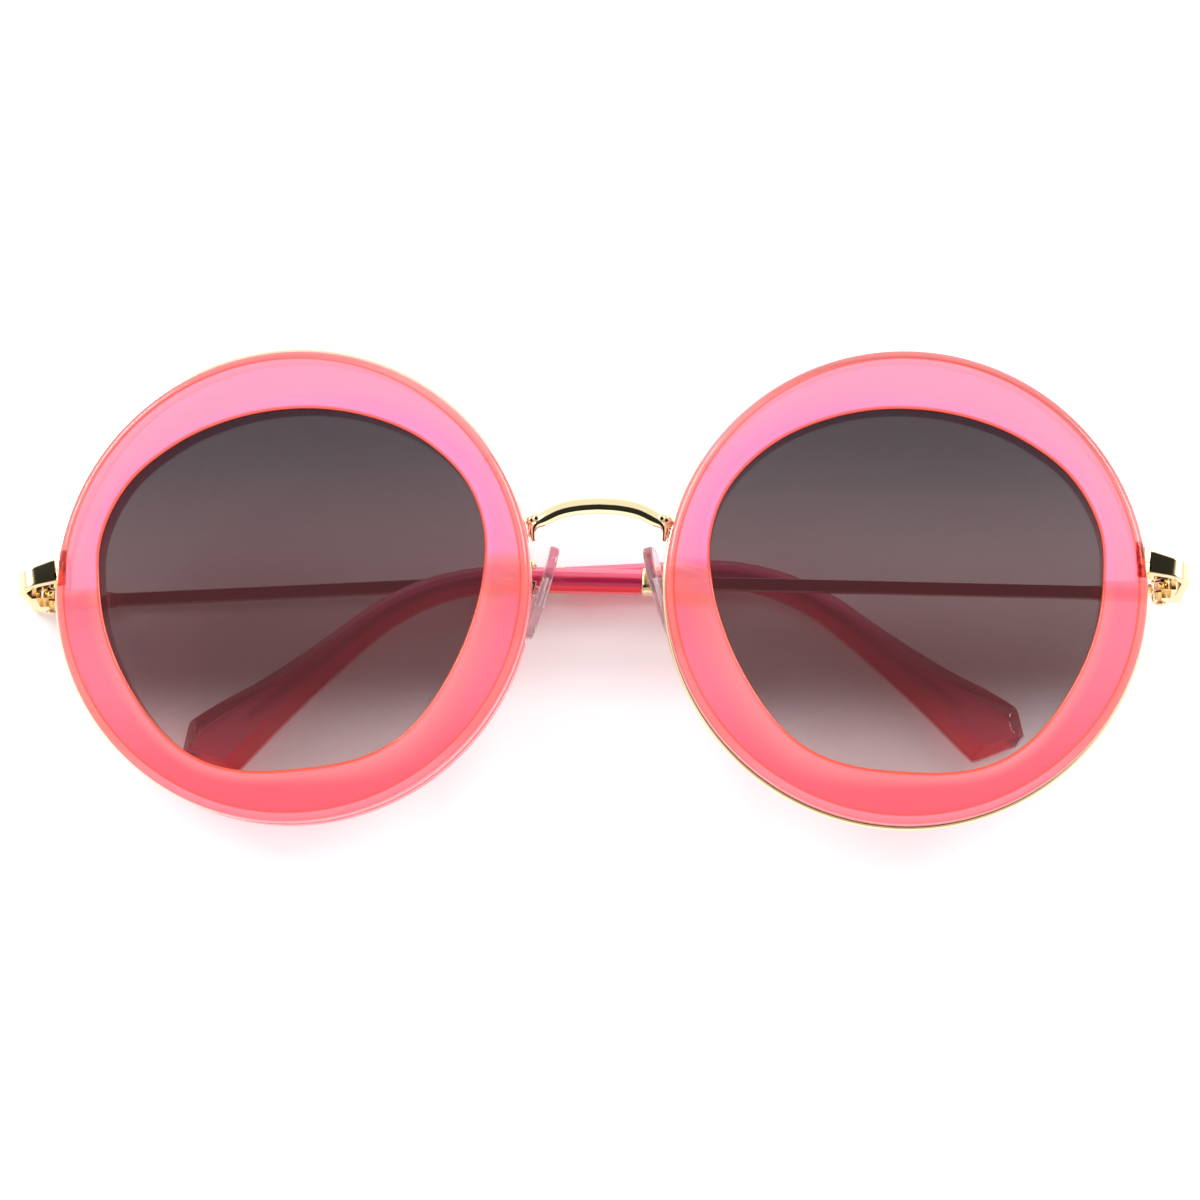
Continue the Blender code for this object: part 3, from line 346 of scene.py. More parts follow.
def pink_plastic(graph):
    from_edge, from_opening, from_notch, height, forward, temporal = (graph.attribute(f"{name}_mm") for name in (
        "from_edge", "from_opening", "from_notch", "height", "forward", "temporal"))
    cloud = graph.noise(60.0, 2.0)
    wobble = cloud * 1.6
    streaks = graph.noise(900.0, 3.0, (2.5, 1, 1))
    # Painted light and shade: lighter above, coral below and deeper towards the cheek, as the frame's shadow lies
    # behind.
    upper = graph.step(height + cloud * 0.8, -0.8, 0.6)
    low_end = graph.fade(height + cloud * 4, -26.0, -6.0)
    nasal = graph.fade(temporal, -22.0, 6.0)
    # Painted glow along the opening, wider near the nose; painted shade by the nose where the pad's arm lies behind.
    near_opening = graph.fade(from_opening, 0.7, 2.2 + nasal * 2.5)
    glow = graph.blend(upper, PINK["glow"], graph.blend(nasal, PINK["violet"], PINK["nasal_violet"]))
    arm_shadow = graph.band(height + wobble, -2.2, -0.8, 2.8, 4.6) * graph.fade(temporal + wobble, -24.4, -23.6)
    # Painted bands and lines that stand in for the refraction and reflections of the rounded edges.
    edge_band = graph.fade(from_edge, 1.05, 1.3)
    edge_colour = graph.blend(graph.fade(height, -27.0, -17.0), PINK["edge"], PINK["low_edge"])
    inner_line = graph.band(from_edge, 0.95, 1.1, 1.15, 1.4)
    outer_line = graph.band(from_edge, 0.10, 0.18, 0.22, 0.34)
    opening_line = graph.fade(from_opening, 0.20, 0.55)
    lines = (inner_line * 0.7 + outer_line * 0.5 + opening_line).math("MINIMUM", 1.0)
    # Painted shade on the inner wall of the opening; the outer wall is darker behind the wire than in front.
    inner_wall = graph.fade(from_opening, 0.0, 0.06) * graph.fade(forward, 1.9, 2.25)
    outer_wall = graph.fade(from_edge, 0.0, 0.10)
    behind = graph.fade(forward, -0.9, -0.4)
    # Painted shade, deep red in the notch's recess, with lighter streaks.
    notch = graph.fade(from_notch, 0.02, 0.28)
    recess = graph.blend(graph.step(streaks, 0.38, 0.62), PINK["recess"], PINK["recess_streak"])
    body = graph.blend(upper, graph.blend(low_end, PINK["lower"], PINK["chin"]), PINK["upper"])
    for share, colour in (
            (near_opening * 0.75, glow), (arm_shadow * 0.6, PINK["arm"]), (edge_band * 0.85, edge_colour),
            (lines, PINK["line"]), (inner_wall, PINK["inner_wall"]), (outer_wall * behind, PINK["rear_wall"]),
            (outer_wall * (1 - behind), PINK["front_wall"]), (notch, recess)):
        body = graph.blend(share, body, colour)
    # The emission in the body colour is painted glow that lifts the shaded parts.
    surface = principled(graph, {
        "Base Color": body, "Roughness": polish_marks(graph, 0.15, 0.05), "IOR": 1.40, "Subsurface Weight": 0.25,
        "Subsurface Radius": (1.0, 0.35, 0.45), "Subsurface Scale": 0.0010, "Transmission Weight": 0.55,
        "Coat Weight": 0.2, "Coat Roughness": 0.12, "Emission Color": body, "Emission Strength": 0.10,
        "Normal": graph.bump(graph.noise(90.0, 3.0), 0.00004, 0.35)})
    return tinted_shadow(graph, surface, PINK["shadow"])


PINK_PLASTIC = finish_of("pink_plastic_finish", pink_plastic)

# %% [markdown]
# The lens is a curved sheet of smoke plastic, dyed brown at the cheek and darker in steps towards the brow, as if
# it had been lifted slowly out of the dye. Across the middle the colour turns red-brown, and a small step back
# below the centre leaves a denser band: both are painted shadow, the reddish shade that the frame throws on the
# table behind the lens. The colour is dark, so that Alpha works as a filter: what lies behind keeps its contrast
# and is only dimmed, strongly at the top and lightly at the bottom.

# %% Lens finish
SMOKE = paints(brow=(48, 33, 42), middle=(88, 45, 48), cheek=(104, 74, 76))
THINNEST_DYE = 0.36
DYE_RANGE = 0.43
CHEEK_LOSS = 0.10
CHEEK_MM = (-26.0, -18.0)
DYE_AND_SHADOW_STEPS_MM = ((-21.0, -10.0, 0.78), (-7.0, 0.0, -0.05), (2.0, 24.0, 0.25))
LEVEL_WAVE_MM = 1.5


def lens_tint(graph):
    height = graph.attribute("height_mm")
    level = height + graph.noise(45.0, 2.0) * LEVEL_WAVE_MM - LEVEL_WAVE_MM / 2
    # Dye steps, with a small step back that leaves a denser painted-shadow band below the centre; the red-brown middle
    # colour is painted shadow too.
    dye_and_shadow = sum(graph.step(level, low, high) * amount for low, high, amount in DYE_AND_SHADOW_STEPS_MM)
    upper = graph.blend(graph.step(level, -6.0, 20.0), SMOKE["middle"], SMOKE["brow"])
    return principled(graph, {
        "Base Color": graph.blend(graph.step(level, -22.0, -12.0), SMOKE["cheek"], upper),
        "Alpha": dye_and_shadow * DYE_RANGE + THINNEST_DYE - graph.fade(height, *CHEEK_MM) * CHEEK_LOSS,
        "Roughness": polish_marks(graph, 0.035, 0.02), "IOR": 1.5})


LENS_TINT = finish_of("lens_tint_finish", lens_tint)

# %% [markdown]
# The fittings are pale polished gold plating. The drawn bars of the temples, brushed along their length, get a
# darker, bronze-like copy of the gold: painted shade, for bars that lie in shade behind the lenses. The colours
# hardly vary, but hairlines from the polishing wheel and slight smears break up the reflections, and that is what
# makes them look like metal instead of paint.

# %% Metal finishes
HAIRLINE_DEPTH = 0.00001
METAL = paints(gold=(248, 228, 176), pale_gold=(255, 240, 200), bronze=(140, 120, 92), pale_bronze=(162, 140, 108))


def plating(graph, colours, smear_scale, hairlines, gloss, relief):
    return principled(graph, {
        "Base Color": graph.blend(graph.noise(smear_scale, 3.0), *(METAL[name] for name in colours)),
        "Metallic": 1.0, "Roughness": polish_marks(graph, *gloss),
        "Normal": graph.bump(graph.noise(*hairlines), HAIRLINE_DEPTH, relief)})


GOLD = finish_of("gold_plating_finish", plating, ("gold", "pale_gold"), 150.0, (900.0, 2.0, (1, 12, 12)),
                 (0.13, 0.07), 0.5)
# The bars take a darker copy of the gold as painted shade.
BAR_METAL = finish_of("shaded_bar_plating_finish", plating, ("bronze", "pale_bronze"), 120.0, (700.0, 2.0, (0.6, 8, 8)),
                      (0.16, 0.05), 0.6)

# %% [markdown]
# The temple tips are solid clear plastic dyed deep pink, moulded over the end of the metal bar, so the core can
# be seen inside. A real refracting solid shows it best; painted light and shade in the colour and a weak emission
# as painted glow add to it. The pads are the same kind of solid without the dye, and each holds a small pale metal
# plate.

# %% Clear plastics
TIP = paints(
    sleeve_top=(246, 122, 160), sleeve=(222, 62, 112), sleeve_foot=(255, 60, 78), core=(168, 44, 84),
    paddle_top=(158, 22, 48), paddle_foot=(236, 44, 62), paddle_edge=(220, 84, 108), shadow=(140, 76, 86))
PAD = paints(haze=(232, 220, 228), clear=(244, 236, 240), shadow=(226, 214, 220), plate=(236, 234, 232),
             plate_shine=(252, 250, 248))
RIPPLE_DEPTH = 0.00003
RIPPLE_STRENGTH = 0.3


def dyed_tip(graph):
    up = graph.attribute("upward_mm") + (graph.noise(80.0, 3.0, (0.4, 1, 1)) - 0.5) * 0.3
    paddle = graph.step(graph.attribute("along_mm"), 30.0, 52.0)
    flat = graph.step(graph.attribute("from_face_mm"), 0.04, 0.16)
    # Painted light and shade by height: a bright red foot, a lighter top edge and a dark band over the core.
    sleeve = graph.blend(graph.step(up, -1.2, -0.95), TIP["sleeve_foot"], TIP["sleeve"])
    sleeve = graph.blend(graph.step(up, 0.0, 0.25), sleeve, TIP["sleeve_top"])
    sleeve = graph.blend(graph.band(up, -0.70, -0.45, -0.15, 0.1) * 0.8, sleeve, TIP["core"])
    # The paddle is painted darker on top than at its foot.
    bevel = graph.blend(graph.step(up, -0.5, 0.5), TIP["paddle_foot"], TIP["paddle_top"])
    colour = graph.blend(paddle, sleeve, graph.blend(flat, TIP["paddle_edge"], bevel))
    # The emission in the tip's colour is painted glow.
    surface = principled(graph, {
        "Base Color": colour, "Roughness": polish_marks(graph, 0.05, 0.03), "IOR": 1.42,
        "Transmission Weight": 0.58, "Emission Color": colour, "Emission Strength": 0.14,
        "Coat Weight": 0.6, "Coat Roughness": 0.03,
        "Normal": graph.bump(graph.noise(120.0, 2.0), RIPPLE_DEPTH, RIPPLE_STRENGTH)})
    return tinted_shadow(graph, surface, TIP["shadow"])


def clear_pad(graph):
    haze = graph.noise(140.0, 3.0)
    surface = principled(graph, {
        "Base Color": graph.blend(haze, PAD["haze"], PAD["clear"]), "Roughness": polish_marks(graph, 0.07, 0.04),
        "IOR": 1.40, "Transmission Weight": 0.90, "Normal": graph.bump(haze, RIPPLE_DEPTH, RIPPLE_STRENGTH)})
    return tinted_shadow(graph, surface, PAD["shadow"])


def pale_plate(graph):
    return principled(graph, {
        "Base Color": graph.blend(graph.noise(300.0, 2.0), PAD["plate"], PAD["plate_shine"]), "Metallic": 0.3,
        "Roughness": polish_marks(graph, 0.35, 0.1)})


DYED_TIP = finish_of("dyed_tip_finish", dyed_tip)
CLEAR_PAD = finish_of("clear_pad_finish", clear_pad)
PALE_PLATE = finish_of("pale_plate_finish", pale_plate)

# %% [markdown]
# The opening of each rim is not round: it is widest at the brow's outer corner and tapers to the cheek. A table
# of angles and shares of the outer radius says how wide it is in every direction, read with a smooth curve. The
# same curve later draws every bent line.

# %% Shape of the opening
OPENING_SHARES = (
    (0, 0.812), (15, 0.835), (32, 0.826), (50, 0.787), (70, 0.755), (90, 0.748), (112, 0.770), (135, 0.817),
    (152, 0.842), (166, 0.831), (180, 0.798), (195, 0.772), (212, 0.767), (238, 0.795), (268, 0.778),
    (298, 0.824), (330, 0.798),
)


def smooth_between(share, start, end, slope_in, slope_out):
    square, cube = share ** 2, share ** 3
    return ((2 * cube - 3 * square + 1) * start + (cube - 2 * square + share) * slope_in
            + (3 * square - 2 * cube) * end + (cube - square) * slope_out)


def smooth_line(points, steps):
    """A smooth line through rows of numbers, with the given steps between neighbours."""
    line = []
    for index in range(len(points) - 1):
        before, after = points[max(index - 1, 0)], points[min(index + 2, len(points) - 1)]
        line += [tuple(smooth_between(step / steps, p1, p2, (p2 - p0) / 2, (p3 - p1) / 2)
                       for p0, p1, p2, p3 in zip(before, points[index], points[index + 1], after))
                 for step in range(steps)]
    return [*line, tuple(points[-1])]


def opening_share(angle_deg):
    """The opening's radius at an angle from the temporal side, as a share of the rim's outer radius."""
    count = len(OPENING_SHARES)
    angle_deg %= 360
    index = max(place for place in range(count) if OPENING_SHARES[place][0] <= angle_deg)
    keys = []
    for offset in (-1, 0, 1, 2):
        turn, place = divmod(index + offset, count)
        keys.append((OPENING_SHARES[place][0] + 360 * turn, OPENING_SHARES[place][1]))
    (a0, s0), (a1, s1), (a2, s2), (a3, s3) = keys
    span = a2 - a1
    return smooth_between((angle_deg - a1) / span, s1, s2, (s2 - s0) / (a2 - a0) * span, (s3 - s1) / (a3 - a1) * span)


opening_mm = [opening_share(angle) * RIM_RADIUS / MM for angle in range(360)]
print("opening from", round(min(opening_mm), 2), "to", round(max(opening_mm), 2), "mm")

# %% [markdown]
# A piece is made in its own drawing place and then carried to the table by a matrix, so that its object stays
# at the origin with its place in its mesh. Where the matrix mirrors the left side into the right one, every
# face would point inwards, so the faces are turned over again. A weighted normal lets the large flat faces of
# the fittings rule their shading, so that they mirror as true flats.

# %% Placing pieces
def plain_mesh(holder, *spare):
    """The mesh that an object's modifiers give; the object and the spare ones are removed."""
    bpy.context.view_layer.update()
    mesh = bpy.data.meshes.new_from_object(holder.evaluated_get(bpy.context.evaluated_depsgraph_get()))
    for item in (holder, *spare):
        bpy.data.objects.remove(item, do_unlink=True)
    return mesh


def settle(name, mesh, place, body, node, finish, smooth_deg=30, flats=True):
    """Carries a drawn mesh to the table as a finished piece that rides on a body and stands for a node."""
    mesh.transform(place)
    if place.determinant() < 0:
        mesh.flip_normals()
    mesh.materials.clear()
    mesh.materials.append(finish)
    mesh.shade_smooth()
    mesh.set_sharp_from_angle(angle=math.radians(smooth_deg))
    if flats:
        holder = linked("levelled", mesh)
        holder.modifiers.new("flats", "WEIGHTED_NORMAL").keep_sharp = True
        mesh = plain_mesh(holder)
    mesh.name = name
    piece = linked(name, mesh)
    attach(piece, body)
    if node:
        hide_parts(node)
    print(name, len(mesh.polygons), "faces")


def fit(side, name, mesh, places, body, node, finish, **shading):
    """Settles a piece of one side on the front, or on that side's temple or pad."""
    owner = body if body == "front" else f"{side}_{body}"
    settle(f"{side}_{name}", mesh, places[side], owner, node and f"{side}_{node}", finish, **shading)


def mesh_from(work):
    """A mesh from a bmesh, merged and with its faces outwards."""
    bmesh.ops.remove_doubles(work, verts=work.verts, dist=1e-7)
    bmesh.ops.recalc_face_normals(work, faces=work.faces)
    mesh = bpy.data.meshes.new("drawn")
    work.to_mesh(mesh)
    work.free()
    return mesh


def outward(mesh):
    work = bmesh.new()
    work.from_mesh(mesh)
    return mesh_from(work)


def join_rows(work, row, following):
    """Faces between two rings of points."""
    for index in range(len(row)):
        after = (index + 1) % len(row)
        work.faces.new((row[index], row[after], following[after], following[index]))


def skin(loops):
    """A closed skin over loops of points, with flat ends."""
    work = bmesh.new()
    rows = [[work.verts.new(point) for point in loop] for loop in loops]
    for row, following in zip(rows, rows[1:]):
        join_rows(work, row, following)
    work.faces.new(rows[0])
    work.faces.new(rows[-1])
    return mesh_from(work)


def box_mesh(low, high):
    work = bmesh.new()
    bmesh.ops.create_cube(work, size=1)
    for vertex in work.verts:
        vertex.co = Vector([low[axis] + (vertex.co[axis] + 0.5) * (high[axis] - low[axis]) for axis in range(3)])
    return mesh_from(work)


def carve(mesh, cutters, operation="DIFFERENCE"):
    """The mesh after each cutter mesh has been taken from it or joined to it."""
    target = linked("carved", mesh)
    helpers = [linked("cutter", cutter) for cutter in cutters]
    for helper in helpers:
        modifier = target.modifiers.new("carve", "BOOLEAN")
        modifier.operation, modifier.solver, modifier.object = operation, "EXACT", helper
    return plain_mesh(target, *helpers)


def moved(mesh, shift):
    mesh.transform(Matrix.Translation(shift))
    return mesh


def polar(radius, angle_deg, forward=0.0):
    angle = math.radians(angle_deg)
    return Vector((radius * math.cos(angle), radius * math.sin(angle), forward))


print("a unit box has", len(box_mesh((0, 0, 0), (1, 1, 1)).polygons), "faces")

# %% [markdown]
# A geometry tree is built like a material: each input has a name and a start value, and a helper sets a
# modifier's input by its identifier. The tree always ends in Realize Instances and Set Material, and its
# result is turned into a plain mesh at once.

# %% Geometry Nodes helpers
class Tree(Graph):
    """A Geometry Nodes tree with named inputs."""

    def __init__(self, name, numbers, takes_mesh=False):
        super().__init__(bpy.data.node_groups.new(name, "GeometryNodeTree"))
        face = self.tree.interface
        if takes_mesh:
            face.new_socket("Geometry", in_out="INPUT", socket_type="NodeSocketGeometry")
        self.sockets = {}
        for label, value in numbers.items():
            kind = "NodeSocketInt" if isinstance(value, int) else "NodeSocketFloat"
            item = face.new_socket(label, in_out="INPUT", socket_type=kind)
            item.default_value = value
            self.sockets[label] = item.identifier
        face.new_socket("Geometry", in_out="OUTPUT", socket_type="NodeSocketGeometry")
        self.start = self.tree.nodes.new("NodeGroupInput")

    def given(self, label):
        return Flow(self, self.start.outputs[label])

    def wire(self, path, steps):
        """A round wire of the given Wire Radius along a path."""
        circle = self.node("GeometryNodeCurvePrimitiveCircle",
                           {"Resolution": steps, "Radius": self.given("Wire Radius")}, mode="RADIUS")
        return self.node("GeometryNodeCurveToMesh", {"Curve": path, "Profile Curve": circle, "Fill Caps": True})

    def curve(self, value, heights):
        """A Float Curve through evenly spaced heights, straight between them."""
        flow = self.node("ShaderNodeFloatCurve", {"Value": value})
        mapping = flow.socket.node.mapping
        mapping.use_clip = False
        points = mapping.curves[0].points
        while len(points) < len(heights):
            points.new(0.5, 0.5)
        for place, (point, height) in enumerate(zip(points, heights)):
            point.handle_type = "VECTOR"
            point.location = (place / (len(heights) - 1), height)
        mapping.update()
        return flow

    def finish(self, geometry, material):
        real = self.node("GeometryNodeRealizeInstances", {"Geometry": geometry})
        dressed = self.node("GeometryNodeSetMaterial", {"Geometry": real, "Material": material})
        self.node("NodeGroupOutput", {0: dressed})

    def mesh(self, values, start=None):
        """The plain outward mesh that the tree gives with these values, grown from a start mesh if there is one."""
        holder = linked("holder", start or bpy.data.meshes.new("holder"))
        modifier = holder.modifiers.new("tree", "NODES")
        modifier.node_group = self.tree
        for label, value in values.items():
            modifier[self.sockets[label]] = value
        return outward(plain_mesh(holder))


print("node tree helpers ready")

# %% [markdown]
# The rim is one section swept round a circle while the opening breathes in and out, which is a rule, so a node
# tree makes it. The section is a list of points: how far across from the opening to the outer wall, how much
# to add to that in millimetres, and how far forward. Rounded corners are arcs in that list, and the groove in
# the outer wall holds the gold wire.

# %% Section of the rim
FRONT_ROUND = 1.1
BACK_ROUND = 0.7
OPENING_ROUND = 0.4
FRONT_CROWN = 0.5
FRONT_RISES = ((0.14, -0.30), (0.25, -0.19), (0.36, -0.10), (0.48, -0.04), (0.60, 0.0), (0.72, -0.03))
BACK_SHARES = (0.8, 0.6, 0.4)
EYEWIRE_RADIUS = 0.00045
EYEWIRE_PROUD = 0.00028
SECTION_STEPS = 64
RING_STEPS = 256


def arc(share, middle, radius, start_deg, end_deg, steps):
    """Section points on an arc about a middle given as an extra and a forward distance in millimetres."""
    angles = [math.radians(start_deg + (end_deg - start_deg) * step / steps) for step in range(steps + 1)]
    return [(share, middle[0] + radius * math.cos(angle), middle[1] + radius * math.sin(angle)) for angle in angles]


def rim_section():
    front = RIM_DEPTH / 2 / MM
    shoulder = front - FRONT_CROWN / 4
    low, high = OPENING_ROUND - front, front - FRONT_CROWN - OPENING_ROUND
    groove = (EYEWIRE_RADIUS + FIT_GAP) / MM
    wire_in = (EYEWIRE_PROUD - EYEWIRE_RADIUS) / MM
    groove_deg = math.degrees(math.acos(-wire_in / groove))
    points = [
        *arc(0, (OPENING_ROUND, high), OPENING_ROUND, 180, 90, 6),
        *((share, 0, front + rise) for share, rise in FRONT_RISES),
        *arc(1, (-FRONT_ROUND, shoulder - FRONT_ROUND), FRONT_ROUND, 90, 0, 11),
        *arc(1, (wire_in, 0), groove, groove_deg, 360 - groove_deg, 10),
        *arc(1, (-BACK_ROUND, BACK_ROUND - front), BACK_ROUND, 0, -90, 8),
        *((share, 0, -front) for share in BACK_SHARES),
        *arc(0, (OPENING_ROUND, low), OPENING_ROUND, -90, -180, 6)]
    wall_steps = SECTION_STEPS - len(points)
    return points + [(0, 0, low + (high - low) * step / (wall_steps + 1)) for step in range(1, wall_steps + 1)]


RIM_SECTION = rim_section()
print("rim section", len(RIM_SECTION), "points")

# %% [markdown]
# The tree bends a flat grid into a ring: one side of the grid runs round the rim, the other round the section.
# Four curves, read at the place on the grid, give the opening and the section, and the seams are welded.

# %% Node tree of the rim
OPENING_KEYS = 128
WELD = 0.000001


def rim_tree():
    tree = Tree("swept_rim", {"Outer Radius": RIM_RADIUS, "Steps Round": RING_STEPS, "Steps Across": SECTION_STEPS})
    grid = tree.node("GeometryNodeMeshGrid", {
        "Size X": 1.0, "Size Y": 1.0, "Vertices X": tree.given("Steps Round") + 1,
        "Vertices Y": tree.given("Steps Across") + 1})
    around, across = (axis + 0.5 for axis in tree.axes(tree.node("GeometryNodeInputPosition"))[:2])
    opening = tree.curve(around, [opening_share(360 * key / OPENING_KEYS) for key in range(OPENING_KEYS + 1)])
    share, extra, forward = (tree.curve(across, heights) for heights in zip(*RIM_SECTION, RIM_SECTION[0]))
    outer = tree.given("Outer Radius")
    radius = outer * opening + outer * (1 - opening) * share + extra * MM
    angle = around * (2 * math.pi)
    place = tree.node("ShaderNodeCombineXYZ", {
        "X": radius * angle.math("COSINE"), "Y": radius * angle.math("SINE"), "Z": forward * MM})
    shaped = tree.node("GeometryNodeSetPosition", {"Geometry": grid, "Position": place})
    tree.finish(tree.node("GeometryNodeMergeByDistance", {"Geometry": shaped, "Distance": WELD}), PINK_PLASTIC)
    return tree


RIM_TREE = rim_tree()
print("rim tree", len(RIM_TREE.tree.nodes), "nodes")

# %% [markdown]
# Two cuts finish the swept ring: the notch at the temple side, where the closing block sits under a skin of
# plastic, and the relief in the back near the nose that leaves room for the pad's arm. The bands of colour are
# read from distances stored on the points afterwards, because a cut makes new points.

# %% Rims
BLOCK_HEIGHT = 0.0040
BLOCK_WIDTH = 0.0018
BLOCK_RAISE = 0.0029
BLOCK_FRONT = 0.0008
NOTCH_FLOOR = RIM_RADIUS + BLOCK_PROUD - BLOCK_WIDTH - FIT_GAP
NOTCH_HALF = BLOCK_HEIGHT / 2 + 2 * FIT_GAP
RELIEF_DEPTH = 0.0017
RELIEF_START_DEG = 147
RELIEF_END_DEG = 195
RELIEF_STEPS = 24


def store(mesh, **lengths):
    """Keeps a length in millimetres on every point of a mesh, under each name."""
    for name, values in lengths.items():
        layer = mesh.attributes.new(f"{name}_mm", "FLOAT", "POINT")
        layer.data.foreach_set("value", np.asarray(values / MM, dtype=np.float32))
    return mesh


def points_of(mesh):
    values = np.empty(len(mesh.vertices) * 3)
    mesh.vertices.foreach_get("co", values)
    return values.reshape(-1, 3)


def with_distances(mesh):
    """What the bands of colour need, stored while a rim or lens still lies in its own drawing."""
    x, y, z = points_of(mesh).T
    radius = np.hypot(x, y)
    opening = np.array([opening_share(angle) for angle in np.degrees(np.arctan2(y, x))]) * RIM_RADIUS
    from_notch = np.hypot(np.maximum(NOTCH_FLOOR - x, 0), np.maximum(np.abs(y - BLOCK_RAISE) - NOTCH_HALF, 0))
    return store(mesh, from_edge=RIM_RADIUS - radius, from_opening=radius - opening, height=y, temporal=x,
                 forward=z, from_notch=from_notch)


def relief_cutter():
    inner, outer, front = RIM_RADIUS - RELIEF_DEPTH, RIM_RADIUS + MM, -EYEWIRE_RADIUS - FIT_GAP
    corners = ((inner, -RIM_DEPTH), (outer, -RIM_DEPTH), (outer, front), (inner, front))
    span = RELIEF_END_DEG - RELIEF_START_DEG
    angles = [RELIEF_START_DEG + span * step / RELIEF_STEPS for step in range(RELIEF_STEPS + 1)]
    return skin([[polar(radius, angle, forward) for radius, forward in corners] for angle in angles])


def notch_cutter():
    return box_mesh((NOTCH_FLOOR, BLOCK_RAISE - NOTCH_HALF, -RIM_DEPTH),
                    (RIM_RADIUS + MM, BLOCK_RAISE + NOTCH_HALF, BLOCK_FRONT + 2 * FIT_GAP))


for side in SIDES:
    ring = RIM_TREE.mesh({"Outer Radius": RIM_RADIUS, "Steps Round": RING_STEPS, "Steps Across": SECTION_STEPS})
    rim = with_distances(carve(ring, [notch_cutter(), relief_cutter()]))
    fit(side, "swept_rim", rim, RIM_PLACE, "front", "rim", PINK_PLASTIC, smooth_deg=40, flats=False)

# %% [markdown]
# The lens is a thin shell of a large sphere, cut to the opening and let into the rim. Rings of points from the
# edge to the middle make both faces, and the middle is closed by a small fan.

# %% Lenses
LENS_THICKNESS = 0.0018
LENS_FORWARD = 0.0009
LENS_CURVE_RADIUS = 0.260
LENS_SEAT = 0.0002
LENS_RINGS = 14
LENS_STEPS = 144


def lens_sag(share):
    """How far the sphere has fallen away at a share of the distance from the middle to the edge."""
    radius = RIM_RADIUS * opening_share(90) * share
    return LENS_CURVE_RADIUS - math.sqrt(LENS_CURVE_RADIUS ** 2 - radius ** 2)


def lens_mesh():
    work = bmesh.new()
    angles = [360 * step / LENS_STEPS for step in range(LENS_STEPS)]
    reach = [RIM_RADIUS * opening_share(angle) + LENS_SEAT for angle in angles]
    edges = []
    for offset in (LENS_THICKNESS / 2, -LENS_THICKNESS / 2):
        rows = []
        for ring in range(LENS_RINGS, 0, -1):
            share = ring / LENS_RINGS
            forward = LENS_FORWARD + (lens_sag(1) - lens_sag(share)) + offset
            rows.append([work.verts.new(polar(far * share, angle, forward)) for far, angle in zip(reach, angles)])
        middle = work.verts.new((0, 0, LENS_FORWARD + lens_sag(1) + offset))
        for row, following in zip(rows, rows[1:]):
            join_rows(work, row, following)
        for here, beyond in zip(rows[-1], rows[-1][1:] + rows[-1][:1]):
            work.faces.new((here, beyond, middle))
        edges.append(rows[0])
    join_rows(work, *edges)
    return mesh_from(work)


for side in SIDES:
    fit(side, "tinted_lens", with_distances(lens_mesh()), RIM_PLACE, "front", "lens", LENS_TINT, smooth_deg=40,
        flats=False)

# %% [markdown]
# A gold wire lies in the groove of each rim, from one half of the closing block round to the other. A wire
# that follows an arc is the plainest use of a node tree: an arc, a small circle, and Curve to Mesh. Each wire
# lies a hair off centre, as hand-fitted wires do, so it shows on one side of the rim more than on the other.

# %% Eyewires
BUTT_GAP = 0.0003
WIRE_SHIFT_MM = {"left": (-0.06, -0.18), "right": (0.26, 0.36)}
WIRE_LOOP = RIM_RADIUS + EYEWIRE_PROUD - EYEWIRE_RADIUS
WIRE_SIDES = 16


def eyewire_tree():
    tree = Tree("wire_on_arc", {"Loop Radius": RIM_RADIUS, "Wire Radius": EYEWIRE_RADIUS, "Start": 0.1, "Sweep": 6.0})
    path = tree.node("GeometryNodeCurveArc", {
        "Resolution": RING_STEPS, "Radius": tree.given("Loop Radius"), "Start Angle": tree.given("Start"),
        "Sweep Angle": tree.given("Sweep")}, mode="RADIUS")
    tree.finish(tree.wire(path, WIRE_SIDES), GOLD)
    return tree


EYEWIRE_TREE = eyewire_tree()
wire_start = math.asin((BLOCK_RAISE + BLOCK_HEIGHT / 2 + BUTT_GAP) / WIRE_LOOP)
wire_end = 2 * math.pi + math.asin((BLOCK_RAISE - BLOCK_HEIGHT / 2 - BUTT_GAP) / WIRE_LOOP)
for side, (across, up) in WIRE_SHIFT_MM.items():
    wire = EYEWIRE_TREE.mesh({"Loop Radius": WIRE_LOOP, "Wire Radius": EYEWIRE_RADIUS, "Start": wire_start,
                              "Sweep": wire_end - wire_start})
    fit(side, "gold_eyewire", moved(wire, (across * MM, up * MM, 0)), RIM_PLACE, "front", "eyewire", GOLD,
        smooth_deg=50)

# %% [markdown]
# The smaller fittings share a few shapes: bars whose section follows a line, turned pins and screws, and blocks
# joined from boxes. The helpers below draw those. Every finished fitting gets its edges broken by a fine bevel,
# as real polished metal has, so that each edge catches a line of light.

# %% Shapes of the small fittings
EDGE_BREAK = 0.00007
TURNED_STEPS = 40
CORNER_STEPS = 4
FLAT_SUPPORT_SHARE = 0.88
SCREW_SLOT = 0.00022
SCREW_HEAD_HEIGHT = 0.00045
SCREW_TIP_SHARE = 0.8
HEAD_EDGE_SHARE = 0.93
HEAD_TOP_SHARE = 0.75


